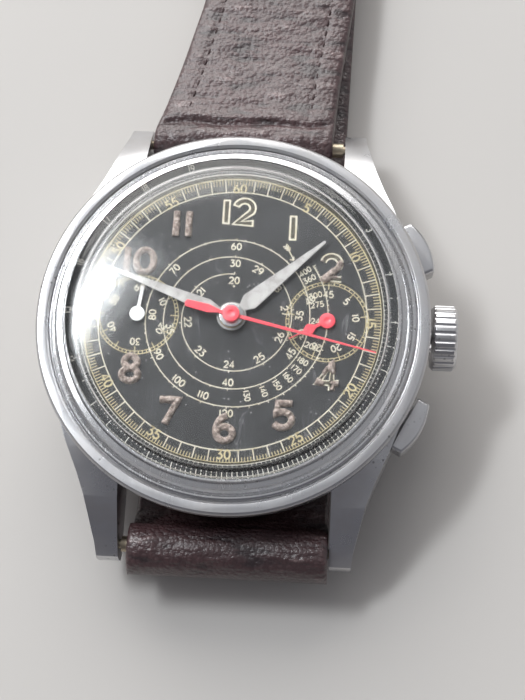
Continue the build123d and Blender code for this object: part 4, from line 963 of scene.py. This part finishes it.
# ---------------------------------------------------------------- rounded edges of the case, crown and buckle
def softened(node, name, body, material, width, angle=30):
    """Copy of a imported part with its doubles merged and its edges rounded, standing for the part."""
    source = nodes[node]
    mesh = source.data.copy()
    piece = bpy.data.objects.new(name, mesh)
    bpy.context.scene.collection.objects.link(piece)
    mesh.materials.clear()
    mesh.materials.append(material)
    weld = piece.modifiers.new("weld", "WELD")
    weld.merge_threshold = 1e-6
    flat = piece.modifiers.new("flat", "DECIMATE")
    flat.decimate_type = "DISSOLVE"
    flat.angle_limit = radians(0.5)
    add_bevel(piece, width, 3, angle)
    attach(piece, body)
    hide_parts(node)
    mesh.polygons.foreach_set("use_smooth", [True] * len(mesh.polygons))
    return piece


def domed_crystal():
    """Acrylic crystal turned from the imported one's sizes: flange, short wall and shallow dome, 0.9 mm thick."""
    base = low("crystal")[2]
    top = high("crystal")[2]
    wall_r = 15.55
    shoulder = DIAL_TOP + 1.9
    thick = 0.9

    def dome(reach, rise, radius):
        """Heights of a sphere cap of a given reach and rise."""
        ball = (reach**2 + rise**2) / (2 * rise)
        return np.column_stack([radius, np.sqrt(ball**2 - radius**2) - (ball - rise)])

    edge_r = wall_r - 0.3
    outer = dome(edge_r, top - shoulder - 0.25, np.linspace(edge_r, 0.02, 26)) + (0, shoulder + 0.25)
    inner = dome(wall_r - thick, top - thick - shoulder, np.linspace(0.02, wall_r - thick, 20)) + (0, shoulder)
    flange_r = high("crystal")[0]
    skirt = [(wall_r - thick, base), (flange_r - 0.04, base), (flange_r, base + 0.04), (flange_r, base + 0.56)]
    wall = [(flange_r - 0.04, base + 0.6), (wall_r, base + 0.6)]
    wall += [(wall_r, shoulder), (wall_r - 0.1, shoulder + 0.17)]
    profile = np.vstack([inner, skirt, wall, outer])
    piece = lathe("domed_crystal", profile, (0, 0), crystal_acrylic, "case", 128)
    piece.visible_shadow = False
    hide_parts("crystal")


domed_crystal()


# ---------------------------------------------------------------- leather strap
STRAP_ROLL_R = 2.55


def section(half_width, top, bottom, corner, across=52):
    """Closed section of a flat strap at each station: straight faces and rounded corners.

    Corner arcs have the given radius, limited by half the thickness. Each station gives one row of points.
    """
    half = np.asarray(half_width)[:, None]
    top = np.asarray(top)[:, None]
    bottom = np.asarray(bottom)[:, None]
    round_by = np.minimum(corner, (top - bottom) * 0.48)
    flat = np.linspace(-1, 1, across)[None, :]
    quarter = np.linspace(0, pi / 2, 5)[None, :]
    upper_x = flat * (half - round_by)
    upper_z = top + 0 * upper_x
    right_x = half - round_by + round_by * np.sin(quarter)
    right_top_z = top - round_by + round_by * np.cos(quarter)
    right_low_z = bottom + round_by - round_by * np.cos(quarter)
    side_x = np.concatenate([right_x[:, 1:], right_x[:, ::-1][:, :-1]], axis=1)
    x = np.concatenate([upper_x, side_x, -upper_x, -side_x], axis=1)
    z = np.concatenate([
        upper_z, right_top_z[:, 1:], right_low_z[:, ::-1][:, :-1],
        bottom + 0 * upper_x, right_low_z[:, 1:], right_top_z[:, ::-1][:, :-1],
    ], axis=1)
    return x, z


def blended(y, knots):
    """Smooth curve through knots of Y and value: linear between them, then eased by a short running mean."""
    knots = np.asarray(knots, float)
    offsets = np.linspace(-1.2, 1.2, 9)
    return np.mean([np.interp(y + shift, knots[:, 0], knots[:, 1]) for shift in offsets], axis=0)


def strap_solid(name, y, middle, half, top, bottom, relief, body, corner=0.55):
    """Strap along Y: sections at each station, with relief added along the height of the upper face.

    relief(x, y) is in mm and fades out towards the edges and the underside.
    """
    x, z = section(half, top, bottom, corner)
    depth = np.broadcast_to(y[:, None], x.shape).copy()
    mid = ((top + bottom) / 2)[:, None]
    side = np.clip((z - mid) / np.maximum((top - bottom)[:, None] / 2, 1e-6), -1, 1)
    world_x = x + middle[:, None]
    bumps = relief(world_x, depth) * np.clip((top - bottom)[:, None] / 1.6, 0, 1)
    z = z + bumps * np.clip(side, 0, 1) ** 2 - 0.4 * bumps * np.clip(-side, 0, 1) ** 2
    points = np.stack([world_x, depth, z], axis=-1)
    faces = tube_faces(points.shape[0], points.shape[1], False)
    faces = [face[::-1] for face in faces]
    return mesh_piece(name, points.reshape(-1, 3), faces, leather, body)


def roll_stations(side, centre_y, count=16):
    """Y stations round a strap's roll, closer together at its end; side is -1 where that end has the lower Y."""
    turn = np.linspace(0, pi / 2, count)
    return centre_y + side * STRAP_ROLL_R * np.cos(turn)


def wrinkle(x, y, seed):
    """Cross wrinkles of worn calf: ridges long across the strap and short along it, in patches, plus pebble."""
    bent = y + 0.5 * rough_noise(x * 0.25, y * 0.25, seed + 50, 2)
    ridges = rough_noise(x * 0.42, bent * 1.25, seed, 3)
    patch = np.clip(rough_noise(x * 0.13, y * 0.10, seed + 20, 2) + 0.6, 0, 1)
    pebble = rough_noise(x * 2.2, y * 2.2, seed + 7, 2)
    return 0.27 * ridges * patch + 0.05 * pebble


def cut(piece, cutters):
    """Takes cutters out of a closed piece and keeps the plain result."""
    for cutter in cutters:
        boolean = piece.modifiers.new("cut", "BOOLEAN")
        boolean.solver = "MANIFOLD"
        boolean.object = cutter
    graph = bpy.context.evaluated_depsgraph_get()
    mesh = bpy.data.meshes.new_from_object(piece.evaluated_get(graph))
    piece.modifiers.clear()
    piece.data = mesh
    for cutter in cutters:
        bpy.data.objects.remove(cutter)
    return piece


def cutter_tube(name, outline, base, top):
    """Upright prism used as a cutter."""
    count = len(outline)
    outline = np.asarray(outline)
    lower = np.column_stack([outline, np.full(count, base)])
    upper = np.column_stack([outline, np.full(count, top)])
    mesh = bpy.data.meshes.new(name)
    mesh.from_pydata((np.vstack([lower, upper]) * MM).tolist(), [], tube_faces(2, count, False))
    mesh.materials.append(leather)
    cutter = bpy.data.objects.new(name, mesh)
    bpy.context.scene.collection.objects.link(cutter)
    return cutter


UPPER_MIDDLE = [(18, -0.5), (21.3, -0.5), (28.0, 0.6), (38.0, 2.35), (50.0, BUCKLE_X), (100, BUCKLE_X)]
UPPER_HALF = [(18, 9.2), (21.8, 9.2), (23.5, 9.0), (28.0, 8.55), (38.0, 7.97), (50.0, 8.0), (100, 8.0)]
UPPER_TOP = [(21.1, 7.42), (22.2, 7.15), (24.0, 6.75), (31.0, 5.95), (42.0, 5.4), (70, 5.4), (83, 3.5)]
UPPER_BOTTOM = [(21.1, 2.42), (23.2, 3.3), (26, 3.24), (70, 3.24), (83, 1.34), (100, 1.34)]
SEAM_Y = 22.6


def upper_strap():
    """Buckle half: rolled round the bar at the lugs, wrinkled, looped round the buckle's bar."""
    roll_y = BAR_Y + 0.3
    end_y = BUCKLE_Y
    body_y = np.concatenate([np.arange(roll_y, 52, 0.24), np.arange(52, end_y, 0.5)])
    loop_y = end_y + 1.5 * np.sin(np.linspace(0, pi / 2, 8))
    y = np.concatenate([roll_stations(-1, roll_y)[:-1], body_y, loop_y])
    arch = np.sqrt(np.clip(STRAP_ROLL_R**2 - (y - roll_y) ** 2, 0, None))
    top = np.where(y < roll_y, BAR_Z + arch, blended(y, UPPER_TOP))
    bottom = np.where(y < roll_y, BAR_Z - arch, blended(y, UPPER_BOTTOM))
    ease = np.clip((y - roll_y) / 1.2, 0, 1)
    leaving = (y >= roll_y) & (y < roll_y + 1.2)
    top = np.where(leaving, (BAR_Z + STRAP_ROLL_R) * (1 - ease) + top * ease, top)
    bottom = np.where(leaving, (BAR_Z - STRAP_ROLL_R) * (1 - ease) + bottom * ease, bottom)
    loop = np.sqrt(np.clip(1.5**2 - (y - end_y) ** 2, 0, None))
    at_loop = y > end_y - 1.2
    top = np.where(at_loop, np.maximum(BUCKLE_Z + loop, np.where(y <= end_y, top, 0)), top)
    bottom = np.where(at_loop, BUCKLE_Z - loop, bottom)
    top[0] += 0.02
    top[-1] += 0.02
    middle = blended(y, UPPER_MIDDLE)
    half = blended(y, UPPER_HALF)

    def relief(x, depth):
        seam = -0.42 * np.exp(-(((depth - SEAM_Y - 0.15 * np.sin(x * 0.8)) / 0.28) ** 2))
        creases = 0.22 * rough_noise(x * 1.1, depth * 0.35, 71, 3) * np.clip((23.2 - depth) / 1.5, 0, 1)
        swell = 0.16 * np.exp(-(((depth - SEAM_Y - 0.9) / 0.6) ** 2))
        off = np.abs(x - np.interp(depth, y, middle)) / np.interp(depth, y, half)
        groove = -0.10 * np.exp(-(((off - 0.71) / 0.035) ** 2)) * np.clip((depth - SEAM_Y) / 0.5, 0, 1)
        edge = -0.30 * np.clip((off - 0.72) / 0.28, 0, 1) ** 2 * np.clip((depth - SEAM_Y) / 1.0, 0, 1)
        inside = np.clip((1.02 - off) / 0.12, 0, 1)
        return (wrinkle(x, depth, 5) + seam + creases + swell) * inside + groove + edge

    piece = strap_solid("buckle_strap", y, middle, half, top, bottom, relief, "upper_strap")
    slot = np.array([(-1.7, -2.3), (1.7, -2.3), (1.7, 3), (-1.7, 3)]) + (BUCKLE_X, end_y)
    cut(piece, [cutter_tube("tongue_slot", slot, -2, 8)])
    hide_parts("strap_upper")
    rows = []
    for side in (-1, 1):
        along = np.arange(SEAM_Y + 0.9, end_y - 5, 1.3)
        x = np.interp(along, y, middle) + side * 0.71 * np.interp(along, y, half)
        z = np.interp(along, y, top) - 0.10
        rows.append(np.stack([x, along, z], axis=1))
    stitches("buckle_strap_stitches", rows, "upper_strap")
    return piece


LOWER_MIDDLE = [(-26, 0.42), (-16, 0.42), (23, 1.6), (40, 2.2), (63, 2.6), (80, 2.6)]
LOWER_HALF = [(-26, 9.5), (-16, 9.45), (23, 8.5), (40, 8.3), (63, 7.95), (80, 7.95)]
LOWER_TOP = [(-21.1, 7.4), (-19.0, 4.9), (-17.4, 2.48), (16.5, 2.45), (19.5, 1.85), (80, 1.85)]
LOWER_BOTTOM = [(-21.1, 2.4), (-19.2, 0.35), (-18.2, 0.03), (80, 0.03)]


def lower_strap():
    """Hole half: rolled round the lower bar, folded flat under the case and on to its rounded tip."""
    roll_y = -BAR_Y - 0.3
    tip_y = high("strap_lower")[1]
    front = roll_y - STRAP_ROLL_R * np.cos(np.linspace(0, pi / 2, 16))
    nose_y = tip_y - 9 * np.cos(np.linspace(0, pi / 2, 24))
    hidden = np.arange(-15, 20, 0.8)
    y = np.concatenate([front[:-1], np.arange(roll_y, -15, 0.2), hidden, np.arange(20, tip_y - 9, 0.3), nose_y])
    arch = np.sqrt(np.clip(STRAP_ROLL_R**2 - (y - roll_y) ** 2, 0, None))
    body_top = blended(y, LOWER_TOP)
    body_bottom = blended(y, LOWER_BOTTOM)
    on_roll = y < roll_y + 2.2
    merged = np.where(on_roll, np.maximum(BAR_Z + arch, body_top), body_top)
    top = np.where(y < roll_y, BAR_Z + arch, merged)
    under = np.where(y < roll_y, BAR_Z - arch, np.minimum(BAR_Z - arch, body_bottom))
    bottom = np.where(on_roll, under, body_bottom)
    top[0] += 0.02
    middle = blended(y, LOWER_MIDDLE)
    half = blended(y, LOWER_HALF)
    nose = np.clip((y - (tip_y - 9)) / 9, 0, 1)
    half = half * np.sqrt(np.clip(1 - nose**2.6, 0.0004, 1))

    def relief(x, depth):
        turn = (depth - roll_y) / STRAP_ROLL_R
        rolled = np.clip(1.3 - np.abs(turn), 0, 1)
        creases = 0.20 * rough_noise(x * 0.9, turn * 0.9, 131, 3) * rolled
        off = np.abs(x - np.interp(depth, y, middle)) / np.interp(depth, y, half)
        edge = -0.25 * np.clip((off - 0.72) / 0.28, 0, 1) ** 2 * np.clip((depth + 14) / 2, 0, 1)
        groove = -0.09 * np.exp(-(((off - 0.74) / 0.035) ** 2)) * np.clip((depth - 8) / 2, 0, 1)
        flat_part = np.clip((depth + 15) / 2, 0, 1)
        inside = np.clip((1.02 - off) / 0.12, 0, 1)
        return (0.45 * wrinkle(x, depth, 85) * flat_part + creases) * inside + edge + groove

    piece = strap_solid("hole_strap", y, middle, half, top, bottom, relief, "lower_strap")
    cutters = []
    for number in range(6):
        hole_y = tip_y - 16 - number * 6.5
        hole_x = float(np.interp(hole_y, y, middle))
        cutters.append(cutter_tube(f"strap_hole_{number}", arc(hole_x, hole_y, 0.9, 0.9, 0, 345, 24), -2, 5))
    cut(piece, cutters)
    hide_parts("strap_lower")
    rows = []
    for side in (-1, 1):
        along = np.arange(10, tip_y - 9, 1.3)
        x = np.interp(along, y, middle) + side * 0.74 * np.interp(along, y, half)
        rows.append(np.stack([x, along, np.interp(along, y, top) - 0.09], axis=1))
    stitches("hole_strap_stitches", rows, "lower_strap")
    return piece


def stitches(name, rows, body, length=0.42, thick=0.13):
    """Rows of short stitches, each a small spindle laid along the row's direction."""
    turn = np.linspace(0, 2 * pi, 6, endpoint=False)
    along = np.array([-1.0, -0.7, 0.0, 0.7, 1.0])
    girth = np.array([0.25, 0.85, 1.0, 0.85, 0.25])
    points = []
    faces = []
    start = 0
    for row in rows:
        heading = np.gradient(row, axis=0)
        heading = heading / np.linalg.norm(heading, axis=1, keepdims=True)
        across = np.cross(heading, (0, 0, 1))
        across = across / np.linalg.norm(across, axis=1, keepdims=True)
        rise = np.cross(across, heading)
        for place, ahead, side, up in zip(row, heading, across, rise):
            sunk = -0.10 * along**2
            round_it = side * np.cos(turn)[:, None] + up * np.sin(turn)[:, None]
            ring = (
                place + ahead * (along * length)[:, None, None]
                + round_it[None] * (girth * thick)[:, None, None]
                + up * sunk[:, None, None]
            )
            points.append(ring.reshape(-1, 3))
            faces += [face[::-1] for face in tube_faces(len(along), len(turn), False, start)]
            start += len(along) * len(turn)
    return mesh_piece(name, np.vstack(points), faces, thread, body)


def keeper(node, name, body):
    """Leather band round the strap: a rounded rectangle path with a softly rounded section."""
    lowest = low(node)
    highest = high(node)
    wall = 0.9
    centre = (lowest + highest) / 2
    half_x = (highest[0] - lowest[0]) / 2 - wall / 2
    half_z = (highest[2] - lowest[2]) / 2 - wall / 2
    half_y = (highest[1] - lowest[1]) / 2
    corner = 0.7
    path = []
    for sign_x, sign_z, start in ((1, 1, 0), (-1, 1, 90), (-1, -1, 180), (1, -1, 270)):
        path.append(arc(sign_x * (half_x - corner), sign_z * (half_z - corner), corner, corner, start, start + 90, 8))
    path = densify(np.vstack(path + [path[0][:1]]), 0.5)[:-1]
    out, back = flanks(path, np.full(len(path), 1.0), True)
    normal = (back - path) / np.linalg.norm(back - path, axis=1, keepdims=True)
    turn = np.linspace(0, 2 * pi, 28, endpoint=False)
    across = half_y * np.sign(np.cos(turn)) * np.abs(np.cos(turn)) ** 0.35
    thick = wall / 2 * np.sign(np.sin(turn)) * np.abs(np.sin(turn)) ** 0.5
    x = centre[0] + path[:, 0][:, None] + normal[:, 0][:, None] * thick
    z = centre[2] + path[:, 1][:, None] + normal[:, 1][:, None] * thick
    y = centre[1] + np.broadcast_to(across, x.shape)
    points = np.stack([x, y, z], axis=-1).reshape(-1, 3)
    faces = tube_faces(len(path), len(turn), True)
    piece = mesh_piece(name, points, faces, edge_leather, body)
    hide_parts(node)
    return piece


upper_strap()
lower_strap()
keeper("fixed_keeper", "sewn_keeper", "upper_strap")
keeper("free_keeper", "sliding_keeper", "free_keeper")


# ---------------------------------------------------------------- floor, lights and camera
def floor():
    """Large pale table with a far edge that turns up out of view."""
    y = np.array([-1.5, 1.5, 2.2, 2.5, 2.6, 2.6]) / MM
    z = np.array([0, 0, 0.05, 0.3, 0.8, 2.5]) / MM
    x = np.array([-2.5, 2.5]) / MM
    points = np.array([(a, b, c) for b, c in zip(y, z) for a in x]) * MM
    mesh = bpy.data.meshes.new("table_top")
    faces = [(2 * k, 2 * k + 1, 2 * k + 3, 2 * k + 2) for k in range(len(y) - 1)]
    mesh.from_pydata(points.tolist(), [], faces)
    mesh.materials.append(pale_floor("pale_table"))
    table = bpy.data.objects.new("table_top", mesh)
    bpy.context.scene.collection.objects.link(table)


def soft_light(name, direction, distance, size, power, colour):
    """Rectangular light aimed at the dial from a direction, sizes in metres."""
    data = bpy.data.lights.new(name, "AREA")
    data.shape = "RECTANGLE"
    data.size = size[0]
    data.size_y = size[1]
    data.energy = power
    data.color = colour
    light = bpy.data.objects.new(name, data)
    away = np.asarray(direction, float)
    away = away / np.linalg.norm(away)
    target = np.array([0, 0, DIAL_TOP * MM])
    right = np.cross((0, 0, 1), away)
    right = right / np.linalg.norm(right)
    up = np.cross(away, right)
    place = Matrix(np.column_stack([right, up, away]).tolist()).to_4x4()
    place.translation = target + away * distance
    light.matrix_world = place
    bpy.context.scene.collection.objects.link(light)


def lights():
    """A window high on the left with soft borders, a broad glow behind and a room that darkens to the front."""
    from_window = (-0.50, 0.30, 0.81)
    soft_light("window", from_window, 0.75, (0.17, 0.055), 1.1, (0.93, 0.97, 1.0))
    soft_light("window_glow", from_window, 0.77, (0.27, 0.11), 1.0, (0.93, 0.97, 1.0))
    soft_light("window_rim", from_window, 0.79, (0.38, 0.20), 0.9, (0.95, 0.98, 1.0))
    soft_light("back_glow", (-0.25, 1.0, 0.62), 1.3, (1.5, 0.9), 19.0, (1.0, 0.99, 0.97))
    world = bpy.data.worlds.new("studio")
    world.use_nodes = True
    tree = world.node_tree
    aim = tree.nodes.new("ShaderNodeTexCoord")
    parts = tree.nodes.new("ShaderNodeSeparateXYZ")
    ramp = tree.nodes.new("ShaderNodeValToRGB")
    lean = tree.nodes.new("ShaderNodeMath")
    lean.operation = "MULTIPLY_ADD"
    lean.inputs[1].default_value = 0.5
    lean.inputs[2].default_value = 0.5
    tree.links.new(aim.outputs["Generated"], parts.inputs[0])
    tree.links.new(parts.outputs["Y"], lean.inputs[0])
    tree.links.new(lean.outputs[0], ramp.inputs[0])
    ramp.color_ramp.elements[0].position = 0.18
    ramp.color_ramp.elements[0].color = (0.16, 0.16, 0.18, 1.0)
    ramp.color_ramp.elements[1].position = 0.85
    ramp.color_ramp.elements[1].color = (0.66, 0.67, 0.69, 1.0)
    tree.links.new(ramp.outputs["Color"], tree.nodes["Background"].inputs["Color"])
    tree.nodes["Background"].inputs["Strength"].default_value = 0.85
    bpy.context.scene.world = world
    bpy.context.scene.view_settings.view_transform = "Standard"


def camera():
    """Hand-held view from above and a little in front, turned a little to the right."""
    data = bpy.data.cameras.new("camera")
    data.lens = 65.42
    data.sensor_width = 36.0
    data.clip_start = 0.005
    eye = bpy.data.objects.new("camera", data)
    tilt = Matrix.Rotation(-0.0404, 3, "Z") @ Matrix.Rotation(-0.0586, 3, "Y") @ Matrix.Rotation(-0.274, 3, "X")
    place = tilt.transposed().to_4x4()
    place.translation = (0.01001, -0.03513, DIAL_TOP * MM + 0.11442)
    eye.matrix_world = place
    bpy.context.scene.collection.objects.link(eye)
    bpy.context.scene.camera = eye


floor()
lights()
camera()

for node, width, angle in (
    ("crown", 0.06, 40), ("start_pusher", 0.25, 40), ("reset_pusher", 0.25, 40), ("mid_case", 0.14, 28),
    ("buckle_frame", 0.5, 40), ("buckle_tongue", 0.08, 50), ("case_back", 0.12, 40),
):
    entry = next(part for part in frame["record"]["subparts"] if part["node"] == node)
    body = next(name for name, members in frame["record"]["behaviour"]["bodies"].items() if node in members)
    finish = FINISHES[entry["material_slot"]]
    softened(node, node + "_worn", body, finish, width, angle)
